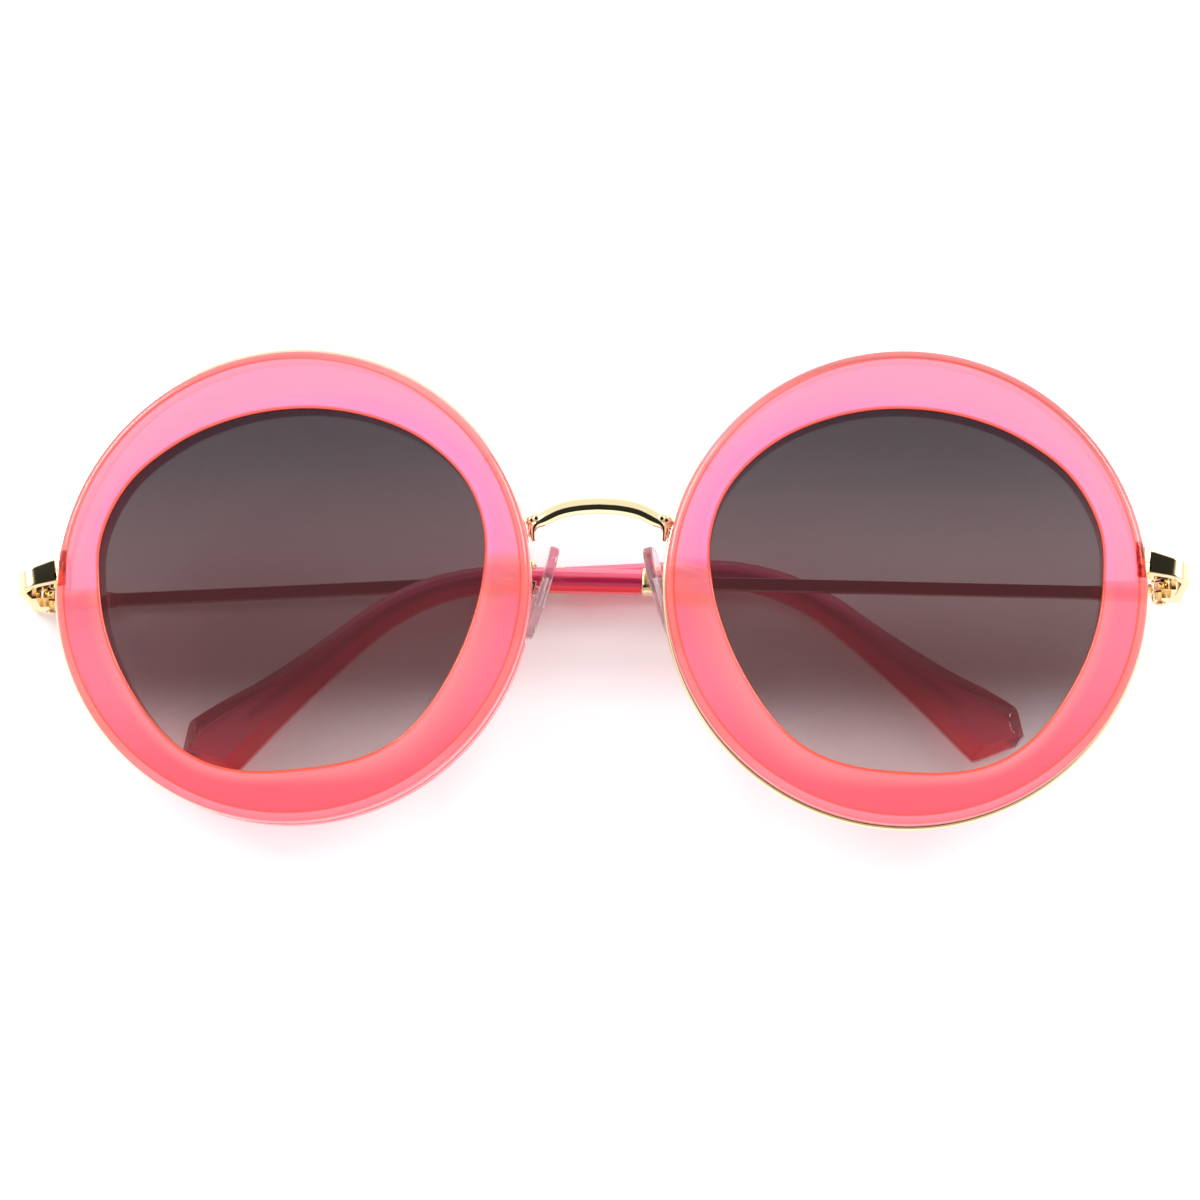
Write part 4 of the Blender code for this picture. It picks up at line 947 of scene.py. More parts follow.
def bar_section(half_height, half_width, corner):
    """Points round a bar section with rounded corners; each flat keeps a support point beside its corners."""
    points = []
    for start_deg, sideways, upwards in ((0, 1, 1), (90, -1, 1), (180, -1, -1), (270, 1, -1)):
        angles = [math.radians(start_deg + 90 * step / CORNER_STEPS) for step in range(CORNER_STEPS + 1)]
        turn = [(sideways * (half_width - corner) + corner * math.cos(angle),
                 upwards * (half_height - corner) + corner * math.sin(angle)) for angle in angles]
        on_side, on_top = ([(across * wide, up * high) for across, up in (turn[0], turn[-1])]
                           for wide, high in ((1, FLAT_SUPPORT_SHARE), (FLAT_SUPPORT_SHARE, 1)))
        ends = (on_side, on_top) if start_deg in (0, 180) else (on_top, on_side)
        points += [ends[0][0], *turn, ends[1][1]]
    return points


def placed(section, centre, upwards, sideways=Vector((1, 0, 0))):
    return [centre + sideways * across + upwards * along for across, along in section]


def turned_mesh(profile, axis="Y"):
    """A closed solid of revolution from rows of radius and place along the axis."""
    loops = []
    for radius, along in profile:
        ring = [polar(radius, 360 * step / TURNED_STEPS) for step in range(TURNED_STEPS)]
        loops.append([(first, along, second) if axis == "Y" else (first, second, along) for first, second, _ in ring])
    return skin(loops)


def pin_mesh(radius, low, high, axis="Y"):
    chamfer = radius / 8
    return turned_mesh(((radius - chamfer, low), (radius, low + chamfer), (radius, high - chamfer),
                        (radius - chamfer, high)), axis)


def softened(mesh, width=EDGE_BREAK, segments=2):
    """The mesh with its sharp edges rounded over."""
    holder = linked("softened", mesh)
    bevel = holder.modifiers.new("edges", "BEVEL")
    bevel.width, bevel.segments, bevel.limit_method = width, segments, "ANGLE"
    return plain_mesh(holder)


def slotted_screw(radius, low, head_low, head_radius, axis="Y"):
    """A shank and a crowned head with a slot across it."""
    head_high = head_low + SCREW_HEAD_HEIGHT
    crown = (head_high - head_low) / 3
    screw = turned_mesh((
        (radius * SCREW_TIP_SHARE, low), (radius, low + radius / 4), (radius, head_low), (head_radius, head_low),
        (head_radius, head_high - crown), (head_radius * HEAD_EDGE_SHARE, head_high - crown / 3),
        (head_radius * HEAD_TOP_SHARE, head_high)), axis)
    slot_low, slot_high, wide, half = head_high - SCREW_SLOT, head_high + MM, head_radius * 2, SCREW_SLOT / 2
    if axis == "Y":
        slot = box_mesh((-wide, slot_low, -half), (wide, slot_high, half))
    else:
        slot = box_mesh((-wide, -half, slot_low), (wide, half, slot_high))
    return softened(carve(screw, [slot]), EDGE_BREAK / 2)


print("a turned pin has", len(pin_mesh(MM, 0, MM).polygons), "faces")

# %% [markdown]
# The closing block is two gold halves that a tiny screw draws together in the notch of the rim. Its sides are
# cut at a slant, so from the front a narrow bright face stands between two slopes that mirror the red plastic.

# %% Closing blocks
BLOCK_BACK = 0.0023
BLOCK_FACE_SHARE = 0.26
BLOCK_SLANT = 0.0009
BLOCK_OUTER = RIM_RADIUS + BLOCK_PROUD
BLOCK_INNER = BLOCK_OUTER - BLOCK_WIDTH
BLOCK_MIDDLE = BLOCK_OUTER - BLOCK_WIDTH / 2
BLOCK_TOP = BLOCK_RAISE + BLOCK_HEIGHT / 2
BLOCK_FOOT = BLOCK_RAISE - BLOCK_HEIGHT / 2
KNUCKLE_GAP = 0.00015
CLOSING_SCREW_RADIUS = 0.00045
CLOSING_SCREW_BACK = 0.0014


def closing_pin(radius, overhang):
    pin = pin_mesh(radius, BLOCK_FOOT - overhang, BLOCK_TOP + overhang)
    return moved(pin, (BLOCK_MIDDLE, 0, -CLOSING_SCREW_BACK))


def block_half(low, high):
    face = BLOCK_WIDTH * BLOCK_FACE_SHARE / 2
    section = ((BLOCK_INNER, -BLOCK_BACK), (BLOCK_OUTER, -BLOCK_BACK), (BLOCK_OUTER, BLOCK_FRONT - BLOCK_SLANT),
               (BLOCK_MIDDLE + face, BLOCK_FRONT), (BLOCK_MIDDLE - face, BLOCK_FRONT),
               (BLOCK_INNER, BLOCK_FRONT - BLOCK_SLANT))
    block = skin([[(across, height, forward) for across, forward in section] for height in (low, high)])
    return softened(carve(block, [closing_pin(CLOSING_SCREW_RADIUS + FIT_GAP, MM)]))


for side in SIDES:
    for name, low, high in (("upper", BLOCK_RAISE + KNUCKLE_GAP / 2, BLOCK_TOP),
                            ("lower", BLOCK_FOOT, BLOCK_RAISE - KNUCKLE_GAP / 2)):
        fit(side, f"gold_block_{name}", block_half(low, high), RIM_PLACE, "front", f"closing_block_{name}", GOLD)
    fit(side, "gold_closing_screw", closing_pin(CLOSING_SCREW_RADIUS, FIT_GAP), RIM_PLACE, "front",
        "closing_screw", GOLD)

# %% [markdown]
# The bridge is a rolled wire with flats: a broad slope towards the brow, a narrow face forward and a small slope
# below. The slope mirrors the pale studio and the face the dark overhead, which draws the fine black line in the
# photograph. Each end is brazed against the rim in a rounded foot: a few drops of solder, drawn as small balls,
# over a heel.

# %% Bridge
BRIDGE_STEPS = 10
BRIDGE_POINTS = (
    (0.0, 0.01046, 0.00100, 0.00100), (0.0026, 0.01028, 0.00100, 0.00100), (0.0050, 0.00978, 0.00098, 0.00098),
    (0.0070, 0.00882, 0.00092, 0.00094), (0.0082, 0.00805, 0.00066, 0.00078), (0.0085, 0.00710, 0.00042, 0.00068),
    (0.0084, 0.00590, 0.00024, 0.00055),
)
BRIDGE_SECTION_SHARES = (
    (0.10, 1.10), (0.36, 0.98), (0.62, 0.74), (0.84, 0.40), (0.96, 0.04), (1.0, -0.06), (1.0, -0.64),
    (0.97, -0.72), (0.66, -0.98), (0.52, -1.04), (-0.40, -1.0), (-0.92, -0.55), (-1.0, -0.40), (-1.0, 0.40),
    (-0.92, 0.55), (-0.45, 1.0),
)
BALL_DEGREES = range(-80, 81, 8)
FOOT_BALLS_MM = ((8.08, 8.62, 0.16, 0.80), (8.66, 8.42, 0.00, 0.80), (8.66, 7.60, -0.10, 0.60))
FOOT_HEEL_MM = ((8.40, 6.30, -0.65), (9.10, 7.70, 0.50))
HEEL_ROUND = 0.00034
HEEL_ROUND_STEPS = 5


def ball_mesh(radius, centre):
    rows = [(radius * math.cos(angle), radius * math.sin(angle)) for angle in map(math.radians, BALL_DEGREES)]
    return moved(turned_mesh(rows, "Z"), centre)


def foot_meshes(mirror, depth):
    """The balls and the heel of one foot."""
    balls = [ball_mesh(radius * MM, (across * mirror * MM, up * MM, depth + forward * MM))
             for across, up, forward, radius in FOOT_BALLS_MM]
    low, high = np.sort([(across * mirror * MM, up * MM, depth + forward * MM)
                         for across, up, forward in FOOT_HEEL_MM], axis=0)
    return [*balls, softened(box_mesh(low, high), HEEL_ROUND, HEEL_ROUND_STEPS)]


def bridge_mesh():
    half = smooth_line(BRIDGE_POINTS, BRIDGE_STEPS)
    line = [(-x, *rest) for x, *rest in reversed(half[1:])] + half
    depth = RIM_RADIUS * math.sin(math.radians(FACE_FORM_DEG))
    loops = []
    for index, (x, y, half_height, half_depth) in enumerate(line):
        before, after = line[max(index - 1, 0)], line[min(index + 1, len(line) - 1)]
        along = Vector((after[0] - before[0], after[1] - before[1], 0)).normalized()
        section = [(across * half_depth, rise * half_height) for across, rise in BRIDGE_SECTION_SHARES]
        loops.append(placed(section, Vector((x, y, depth)), Vector((-along.y, along.x, 0)), Vector((0, 0, 1))))
    feet = [foot for mirror in SIDES.values() for foot in foot_meshes(mirror, depth)]
    return carve(skin(loops), feet, "UNION")


settle("gold_bridge", bridge_mesh(), TABLE_POSE, "front", "bridge", GOLD, smooth_deg=24)

# %% [markdown]
# The end piece is a strap bent through a right angle: flat and black in the mirror of the studio in front, pale
# on the round corner, then a leg that runs back to the hinge. The hinge has three knuckles on two brazed leaves
# and a slotted screw.

# %% End pieces and hinges
STRAP_HEIGHT = 0.0026
STRAP_FRONT_HEIGHT = 0.0030
STRAP_BEND_RADIUS = 0.0021
STRAP_BEND_STEPS = 18
STRAP_ROUND = 0.00018
STRAP_FRONT_SHARES = (0.08, 0.35, 0.7, 0.97, 1.0)
CORNER_FLARE = 0.0006
BARREL_RADIUS = 0.0012
BARREL_HALF = 0.0020
KNUCKLE_HEIGHT = (2 * BARREL_HALF - 2 * KNUCKLE_GAP) / 3
HINGE_SCREW_RADIUS = 0.00050
HINGE_SCREW_OVERHANG = 0.0003
LEAF_THICKNESS = 0.00055
LEAF_LENGTH = 0.0050


def end_piece_line():
    """Middle line of the strap in the hinge's frame; beside the rim it climbs to the closing block."""
    side_x = BARREL_STANDOFF + STRAP_THICKNESS / 2
    start = HINGE_PITCH.inverted() @ (STRAP_START - HINGE_PIN)
    forward = start.z - STRAP_THICKNESS / 2
    middle_x, middle_z = side_x + CORNER_FLARE - STRAP_BEND_RADIUS, forward - STRAP_BEND_RADIUS
    line = []
    for share in (step / STRAP_BEND_STEPS for step in range(STRAP_BEND_STEPS)):
        line.append((side_x + CORNER_FLARE * share * share, middle_z * share - HINGE_FROM_LEG_END * (1 - share)))
    for step in range(STRAP_BEND_STEPS + 1):
        angle = math.radians(90) * step / STRAP_BEND_STEPS
        line.append((middle_x + STRAP_BEND_RADIUS * math.cos(angle), middle_z + STRAP_BEND_RADIUS * math.sin(angle)))
    line += [(middle_x + (start.x - middle_x) * share, forward) for share in STRAP_FRONT_SHARES]
    reach = side_x - start.x
    return [Vector((out, start.y * min(max((side_x - out) / reach, 0), 1), along)) for out, along in line]


def end_piece_mesh():
    """The strap along its line; it is tallest beside the rim."""
    line = end_piece_line()
    last, corner_at = len(line) - 1, len(line) - 1 - len(STRAP_FRONT_SHARES)
    inner, corner = line[last].x, line[corner_at].x
    loops = []
    for index, place in enumerate(line):
        along = (line[min(index + 1, last)] - line[max(index - 1, 0)]).normalized()
        upwards = Vector((0, 1, 0)) if index == last else Vector((0, 1, 0)) - along * along.y
        outwards = upwards.cross(Vector((-along.x, 0, -along.z))).normalized()
        beside_rim = max((corner - place.x) / (corner - inner), 0) if index > corner_at else 0
        half = (STRAP_HEIGHT + (STRAP_FRONT_HEIGHT - STRAP_HEIGHT) * beside_rim) / 2
        section = bar_section(half, STRAP_THICKNESS / 2, STRAP_ROUND)
        loops.append(placed(section, place, upwards.normalized(), outwards))
    return skin(loops)


def hinge_leaf(leaf, added):
    """A leaf with its knuckles, bored for the screw."""
    bore = pin_mesh(HINGE_SCREW_RADIUS + FIT_GAP, -2 * BARREL_HALF, 2 * BARREL_HALF)
    return softened(carve(carve(leaf, added, "UNION"), [bore]))


def front_hinge_mesh():
    """Two outer knuckles on a leaf that is brazed inside the end piece."""
    face = BARREL_STANDOFF - FIT_GAP
    leaf_start = BARREL_RADIUS + BUTT_GAP
    reach = LEG_LENGTH - HINGE_FROM_LEG_END - STRAP_BEND_RADIUS
    added = []
    for low in (-BARREL_HALF, BARREL_HALF - KNUCKLE_HEIGHT):
        high = low + KNUCKLE_HEIGHT
        web = box_mesh((0, low, 0), (face, high, leaf_start + LEAF_THICKNESS))
        added += [web, pin_mesh(BARREL_RADIUS, low, high)]
    leaf = box_mesh((face - LEAF_THICKNESS, -BARREL_HALF, leaf_start), (face, BARREL_HALF, reach))
    return hinge_leaf(leaf, added)


def temple_hinge_mesh():
    """The middle knuckle on a leaf that is brazed inside the bar."""
    half = KNUCKLE_HEIGHT / 2
    face = BAR_SIDE - BAR_THICKNESS / 2 - FIT_GAP
    leaf_half = BAR_HINGE_HEIGHT / 2 - STRAP_ROUND
    leaf = box_mesh((face - LEAF_THICKNESS, -leaf_half, -BAR_START - LEAF_LENGTH), (face, leaf_half, -BAR_START))
    web = box_mesh((0, -half, -BAR_START - BARREL_RADIUS), (face - LEAF_THICKNESS / 2, half, 0))
    return hinge_leaf(leaf, [web, pin_mesh(BARREL_RADIUS, -half, half)])


def hinge_screw_mesh():
    return slotted_screw(HINGE_SCREW_RADIUS, -BARREL_HALF - HINGE_SCREW_OVERHANG, BARREL_HALF + FIT_GAP,
                         BARREL_RADIUS - FIT_GAP)


print("each knuckle is", round(KNUCKLE_HEIGHT / MM, 2), "mm high")

# %% [markdown]
# The temple follows one line: straight from the hinge, rising a little, then a bend over the ear and a straight
# drop. Every section of the bar and the tip is laid across that line, so two functions give its centre and its
# upward direction at any distance.

# %% Temple line
BAR_LENGTH = 0.0647
BAR_THICKNESS = 0.0010
BAR_HEIGHT = 0.0017
BAR_HINGE_HEIGHT = 0.0026
BAR_RISE = math.radians(2.5)
BAR_START = HINGE_FROM_LEG_END + BUTT_GAP
BAR_END = BAR_START + BAR_LENGTH
BAR_SIDE = BARREL_STANDOFF + STRAP_THICKNESS - BAR_THICKNESS / 2
BACKWARDS = Vector((0, math.sin(BAR_RISE), -math.cos(BAR_RISE)))
UPWARDS = Vector((0, math.cos(BAR_RISE), math.sin(BAR_RISE)))
TIP_STRAIGHT = 0.0170
TIP_BEND_RADIUS = 0.0285
TIP_BEND_LENGTH = TIP_BEND_RADIUS * math.radians(41.7)
TIP_DROP_LENGTH = 0.0285
TIP_LENGTH = TIP_STRAIGHT + TIP_BEND_LENGTH + TIP_DROP_LENGTH


def bar_point(distance):
    """Centre and upward direction of the bar, by the distance behind the hinge pin."""
    return Vector((BAR_SIDE, 0, 0)) + BACKWARDS * distance, UPWARDS


def tip_point(distance):
    """Centre and upward direction of the tip, by the distance behind the ferrule."""
    bend = min(max(distance - TIP_STRAIGHT, 0), TIP_BEND_LENGTH) / TIP_BEND_RADIUS
    dropped = max(distance - TIP_STRAIGHT - TIP_BEND_LENGTH, 0)
    run = min(distance, TIP_STRAIGHT) + TIP_BEND_RADIUS * math.sin(bend) + dropped * math.cos(bend)
    fall = TIP_BEND_RADIUS * (1 - math.cos(bend)) + dropped * math.sin(bend)
    centre = bar_point(BAR_END)[0] + BACKWARDS * run - UPWARDS * fall
    return centre, UPWARDS * math.cos(bend) + BACKWARDS * math.sin(bend)


print("temple length", round((BAR_END + TIP_LENGTH) / MM, 1), "mm")

# %% [markdown]
# With the temple's line known, the hinges go in. The screw and the front leaf belong to the front, the middle
# knuckle to the temple that turns.

# %% Fitting the hinges
for side in SIDES:
    fit(side, "gold_end_piece", end_piece_mesh(), HINGE_PLACE, "front", "end_piece", GOLD, smooth_deg=50)
    fit(side, "gold_front_hinge", front_hinge_mesh(), HINGE_PLACE, "front", "front_hinge", GOLD)
    fit(side, "gold_hinge_screw", hinge_screw_mesh(), HINGE_PLACE, "front", "hinge_screw", GOLD)
    fit(side, "gold_temple_hinge", temple_hinge_mesh(), TEMPLE_PLACE, "temple", "temple_hinge", GOLD)

# %% [markdown]
# The temple is one bar of metal: tall at the hinge, tapering to a slim strip, and then a plain core inside the
# moulded tip. A small collar hides the step where it enters the plastic.

# %% Temple bars and collars
BAR_ROUND = 0.00024
BAR_TAPER_START = 0.0055
BAR_TAPER_END = 0.0090
TAPER_STEPS = 10
CORE_HALF_HEIGHT = 0.00065
CORE_HALF_THICKNESS = 0.0004
CORE_END_SHARE = 0.86
CORE_POINT_SHARE = 0.88
CORE_POINT_LOSS = 0.8
CORE_STEPS = 36
CORE = bar_section(CORE_HALF_HEIGHT, CORE_HALF_THICKNESS, BAR_ROUND)
CORE_HOLE = bar_section(CORE_HALF_HEIGHT + FIT_GAP, CORE_HALF_THICKNESS + FIT_GAP, BAR_ROUND)
TIP_HEIGHT = 0.0032
TIP_THICKNESS = 0.0028
TIP_BEVEL = 0.0009
FERRULE_LENGTH = 0.0016
FERRULE_WALL = 0.00012
FERRULE_DROPS_MM = ((0, 0.10), (0.08, 0), (0.40, 0), (0.46, 0.08), (0.54, 0.08), (0.60, 0), (0.92, 0), (1, 0.10))


def temple_bar_mesh():
    stations = [(BAR_START, BAR_HINGE_HEIGHT)]
    for share in (step / TAPER_STEPS for step in range(TAPER_STEPS + 1)):
        ease = share * share * (3 - 2 * share)
        stations.append((BAR_TAPER_START + (BAR_TAPER_END - BAR_TAPER_START) * share,
                         BAR_HINGE_HEIGHT + (BAR_HEIGHT - BAR_HINGE_HEIGHT) * ease))
    stations.append((BAR_END - FERRULE_LENGTH - FIT_GAP, BAR_HEIGHT))
    loops = [placed(bar_section(height / 2, BAR_THICKNESS / 2, BAR_ROUND), *bar_point(distance))
             for distance, height in stations]
    loops.append(placed(CORE, *bar_point(BAR_END - FERRULE_LENGTH)))
    for share in (step / CORE_STEPS for step in range(CORE_STEPS + 1)):
        size = 1 - max(share - CORE_POINT_SHARE, 0) / (1 - CORE_POINT_SHARE) * CORE_POINT_LOSS
        loops.append(placed([(across * size, along * size) for across, along in CORE],
                            *tip_point(TIP_LENGTH * CORE_END_SHARE * share)))
    return skin(loops)


def collar_mesh():
    """The collar with a lip at each end and a fine groove round its middle."""
    end = BAR_END - FIT_GAP
    start = end - FERRULE_LENGTH + FIT_GAP
    loops = []
    for share, drop in FERRULE_DROPS_MM:
        section = bar_section(TIP_HEIGHT / 2 + FERRULE_WALL - drop * MM, TIP_THICKNESS / 2 + FERRULE_WALL - drop * MM,
                              TIP_BEVEL)
        loops.append(placed(section, *bar_point(start + (end - start) * share)))
    return carve(skin(loops), [skin([placed(CORE_HOLE, *bar_point(place)) for place in (start - MM, end + MM)])])


for side in SIDES:
    fit(side, "slim_temple_bar", temple_bar_mesh(), TEMPLE_PLACE, "temple", "temple_bar", BAR_METAL, smooth_deg=50)
    fit(side, "gold_collar", collar_mesh(), TEMPLE_PLACE, "temple", "ferrule", GOLD, smooth_deg=40)

# %% [markdown]
# The tip is moulded over the core: a sleeve with flats, a bend over the ear, and a flat paddle cut off at a
# slant. Its section runs through a table of shares, and the edges between the flats are broken a little. The
# dye and the dark paddle faces follow distances stored on its points, and so does the painted light and shade:
# a lighter top edge, a dark band over the core, a bright red foot, and a paddle darker on top than at its foot.

# %% Temple tips
PADDLE_HEIGHT = 0.0092
PADDLE_THICKNESS = 0.0032
PADDLE_BEVEL_HEIGHT = 0.0023
PADDLE_BEVEL_DEPTH = 0.0011
BEVEL_LIMIT_SHARE = 0.8
FACET_EASE_SHARE = 0.06
TIP_STEPS = 8
TIP_STATIONS = 160
TIP_SECTION_SHARES = (
    (0.00, 0.00, 0.00, 0.00, 0.00), (0.22, 0.02, 0.02, 0.00, 0.00), (0.42, 0.09, 0.10, 0.10, 0.05),
    (0.58, 0.15, 0.20, 0.25, 0.15), (0.70, 0.29, 0.36, 0.50, 0.35), (0.80, 0.52, 0.58, 0.80, 0.65),
    (0.88, 0.84, 0.82, 1.00, 0.90), (0.94, 1.00, 1.00, 1.00, 1.00), (0.958, 0.95, 0.88, 0.95, 1.00),
    (0.985, 0.48, -0.16, 0.60, 0.70), (1.00, 0.22, -0.72, 0.10, 0.40),
)


def eased(corners):
    """Each corner of a section cut back a little, so that the edge between two flats is narrow but soft."""
    points = []
    for index, corner in enumerate(corners):
        for other in (corners[index - 1], corners[(index + 1) % len(corners)]):
            points.append(tuple(Vector(corner).lerp(Vector(other), FACET_EASE_SHARE)))
    return points


def tip_section(upper, lower, thick, bevel):
    sleeve, paddle = TIP_HEIGHT / 2, PADDLE_HEIGHT / 2
    up = sleeve + (paddle - sleeve) * upper
    down = sleeve + (paddle - sleeve) * lower
    half = (TIP_THICKNESS + (PADDLE_THICKNESS - TIP_THICKNESS) * thick) / 2
    rise = min(TIP_BEVEL + (PADDLE_BEVEL_HEIGHT - TIP_BEVEL) * bevel, (up + down) / 2 * BEVEL_LIMIT_SHARE)
    inset = TIP_BEVEL + (PADDLE_BEVEL_DEPTH - TIP_BEVEL) * bevel
    return eased(((half, up - rise), (half - inset, up), (inset - half, up), (-half, up - rise),
                  (-half, rise - down), (inset - half, -down), (half - inset, -down), (half, rise - down)))


def temple_tip_mesh():
    shell = skin([placed(tip_section(*shares), *tip_point(TIP_LENGTH * place))
                  for place, *shares in smooth_line(TIP_SECTION_SHARES, TIP_STEPS)])
    hole_length = TIP_LENGTH * CORE_END_SHARE + BUTT_GAP
    places = [bar_point(BAR_END - MM), *(tip_point(hole_length * step / CORE_STEPS) for step in range(CORE_STEPS + 1))]
    return carve(shell, [skin([placed(CORE_HOLE, *place) for place in places])])


def with_tip_distances(mesh):
    """How far along, up and in from the flat face each point of a tip lies."""
    points = points_of(mesh)
    stations = [tip_point(TIP_LENGTH * step / TIP_STATIONS) for step in range(TIP_STATIONS + 1)]
    centres, ups = (np.array(column) for column in zip(*stations))
    nearest = ((points[:, None, 1:] - centres[None, :, 1:]) ** 2).sum(2).argmin(1)
    offset = points - centres[nearest]
    across = np.abs(offset[:, 0])
    half = np.zeros(TIP_STATIONS + 1)
    np.maximum.at(half, nearest, across)
    half = np.max([np.roll(half, shift) for shift in (-2, -1, 0, 1, 2)], axis=0)
    return store(mesh, along=nearest * TIP_LENGTH / TIP_STATIONS, upward=(offset * ups[nearest]).sum(1),
                 from_face=half[nearest] - across)


for side in SIDES:
    fit(side, "dyed_tip", with_tip_distances(temple_tip_mesh()), TEMPLE_PLACE, "temple", "temple_tip", DYED_TIP,
        smooth_deg=28)

# %% [markdown]
# A nose pad is a thin clear plate with a squarish outline and soft edges, a little hollow towards the nose. A
# boss on its back takes the screw of the small fork, a bright plate inside it holds the boss, and a bent wire
# carries the fork from the eyewire.

# %% Nose pads
PAD_LENGTH = 0.0124
PAD_WIDTH = 0.0060
PAD_HALF_THICKNESS = 0.00065
PAD_OFFSET = 0.0023
PAD_SQUARENESS = 3.6
PAD_EDGE_ROUND = 0.00032
PAD_EDGE_DEGREES = (90, 67, 45, 22, 0)
PAD_BOW = 0.00025
PAD_STEPS = 72
BOSS_HALF_WIDTH = 0.0007
BOSS_HALF_HEIGHT = 0.00065
BOSS_ROUND = 0.00015
PAD_SCREW_RADIUS = 0.00035
BOX_WALL = 0.00045
BOX_UP = 0.00105
BOX_REACH = 0.0011
BOX_BACK = 0.0014
BOX_EDGE = 0.00012
BOX_WIDE = BOSS_HALF_WIDTH + KNUCKLE_GAP + BOX_WALL
PLATE_HALVES = Vector((0.00015, 0.0019, 0.0011))
PLATE_HOLE_RADIUS = 0.0005
PLATE_ROUND = 0.0001
ROUND_STEPS = 3


def pad_bore(half_length):
    return pin_mesh(PAD_SCREW_RADIUS + FIT_GAP, -half_length, half_length, "Z")


def pad_mesh():
    loops = []
    for face, degrees in ((-1, PAD_EDGE_DEGREES), (1, PAD_EDGE_DEGREES[::-1])):
        for turn in map(math.radians, degrees):
            across = face * (PAD_HALF_THICKNESS - PAD_EDGE_ROUND * (1 - math.sin(turn)))
            inset = PAD_EDGE_ROUND * (1 - math.cos(turn))
            loop = []
            for angle in (2 * math.pi * step / PAD_STEPS for step in range(PAD_STEPS)):
                cosine, sine = math.cos(angle), math.sin(angle)
                reach = (abs(cosine) ** PAD_SQUARENESS + abs(sine) ** PAD_SQUARENESS) ** (-1 / PAD_SQUARENESS)
                length = (PAD_LENGTH / 2 - inset) * reach * cosine
                bow = PAD_BOW * (2 * length / PAD_LENGTH) ** 2
                loop.append((across - PAD_OFFSET + bow, length, (PAD_WIDTH / 2 - inset) * reach * sine))
            loops.append(loop)
    boss = box_mesh((-PAD_OFFSET, -BOSS_HALF_HEIGHT, -BOSS_HALF_WIDTH),
                    (BOSS_HALF_HEIGHT, BOSS_HALF_HEIGHT, BOSS_HALF_WIDTH))
    joined = carve(skin(loops), [softened(boss, BOSS_ROUND, ROUND_STEPS)], "UNION")
    return carve(joined, [pad_bore(PAD_WIDTH)])


def pad_box_mesh():
    box = box_mesh((-BOX_REACH, -BOX_UP, -BOX_WIDE), (BOX_BACK, BOX_UP, BOX_WIDE))
    slot = box_mesh((-BOX_REACH - MM, -BOX_UP - MM, BOX_WALL - BOX_WIDE),
                    (BOX_BACK - BOX_WALL, BOX_UP + MM, BOX_WIDE - BOX_WALL))
    return softened(carve(box, [slot, pad_bore(BOX_WIDE + MM)]), BOX_EDGE)


def pad_screw_mesh():
    return slotted_screw(PAD_SCREW_RADIUS, -BOX_WIDE, BOX_WIDE + FIT_GAP, PAD_SCREW_RADIUS * 2, "Z")


def pad_plate_mesh():
    """The small bright plate that is moulded into the pad to hold its boss."""
    middle = Vector((-PAD_OFFSET, 0, 0))
    plate = box_mesh(middle - PLATE_HALVES, middle + PLATE_HALVES)
    return softened(carve(plate, [pin_mesh(PLATE_HOLE_RADIUS, -MM, MM, "Z")]), PLATE_ROUND, ROUND_STEPS)


for side in SIDES:
    fit(side, "pad_plate", pad_plate_mesh(), PAD_PLACE, "pad", None, PALE_PLATE)
    fit(side, "clear_pad", pad_mesh(), PAD_PLACE, "pad", "nose_pad", CLEAR_PAD)
    fit(side, "gold_pad_box", pad_box_mesh(), PAD_PLACE, "front", "pad_box", GOLD)
    fit(side, "gold_pad_screw", pad_screw_mesh(), PAD_PLACE, "front", "pad_screw", GOLD)

# %% [markdown]
# The pad's arm is a length of round wire bent through a few points, which is what Curve to Mesh is for. The tree
# takes a chain of edges, turns it into a curve and gives it thickness.

# %% Pad arms
PAD_ARM_RADIUS = 0.00045
PAD_ARM_LEAD = 0.0008
PAD_ARM_STEPS = 8
PAD_ARM_SIDES = 20
PAD_ARM_POINTS = (
    (0.0085, 0.0029, -0.0004), (0.0089, 0.0032, -0.0019), (0.0102, 0.0034, -0.0037), (0.0121, 0.0030, -0.0051),
    (0.0129, 0.0020, -0.0057),
)


def bent_wire_tree():
    tree = Tree("bent_wire", {"Wire Radius": PAD_ARM_RADIUS}, takes_mesh=True)
    path = tree.node("GeometryNodeMeshToCurve", {"Mesh": tree.given("Geometry")})
    tree.finish(tree.wire(path, PAD_ARM_SIDES), GOLD)
    return tree


def arm_chain():
    """A chain of edges along the arm, from the eyewire to the back of the pad's box."""
    start_deg = 180 - math.degrees(math.asin(PAD_ARM_POINTS[0][1] / RIM_RADIUS))
    start = Vector((RIM_SIDE, 0, 0)) + FACE_FORM @ polar(WIRE_LOOP, start_deg, -EYEWIRE_RADIUS - FIT_GAP)
    lead, end = (PAD_PIVOT + PAD_TURN @ Vector((BOX_BACK + FIT_GAP + further, 0, 0)) for further in (PAD_ARM_LEAD, 0))
    points = smooth_line([tuple(start), *PAD_ARM_POINTS, tuple(lead), tuple(end)], PAD_ARM_STEPS)
    chain = bpy.data.meshes.new("chain")
    chain.from_pydata(points, [(index, index + 1) for index in range(len(points) - 1)], [])
    return chain


BENT_WIRE_TREE = bent_wire_tree()
SIDE_PLACE = {side: TABLE_POSE @ mirrored(side) for side in SIDES}
for side in SIDES:
    arm = BENT_WIRE_TREE.mesh({"Wire Radius": PAD_ARM_RADIUS}, arm_chain())
    fit(side, "gold_pad_arm", arm, SIDE_PLACE, "front", "pad_arm", GOLD, smooth_deg=50)

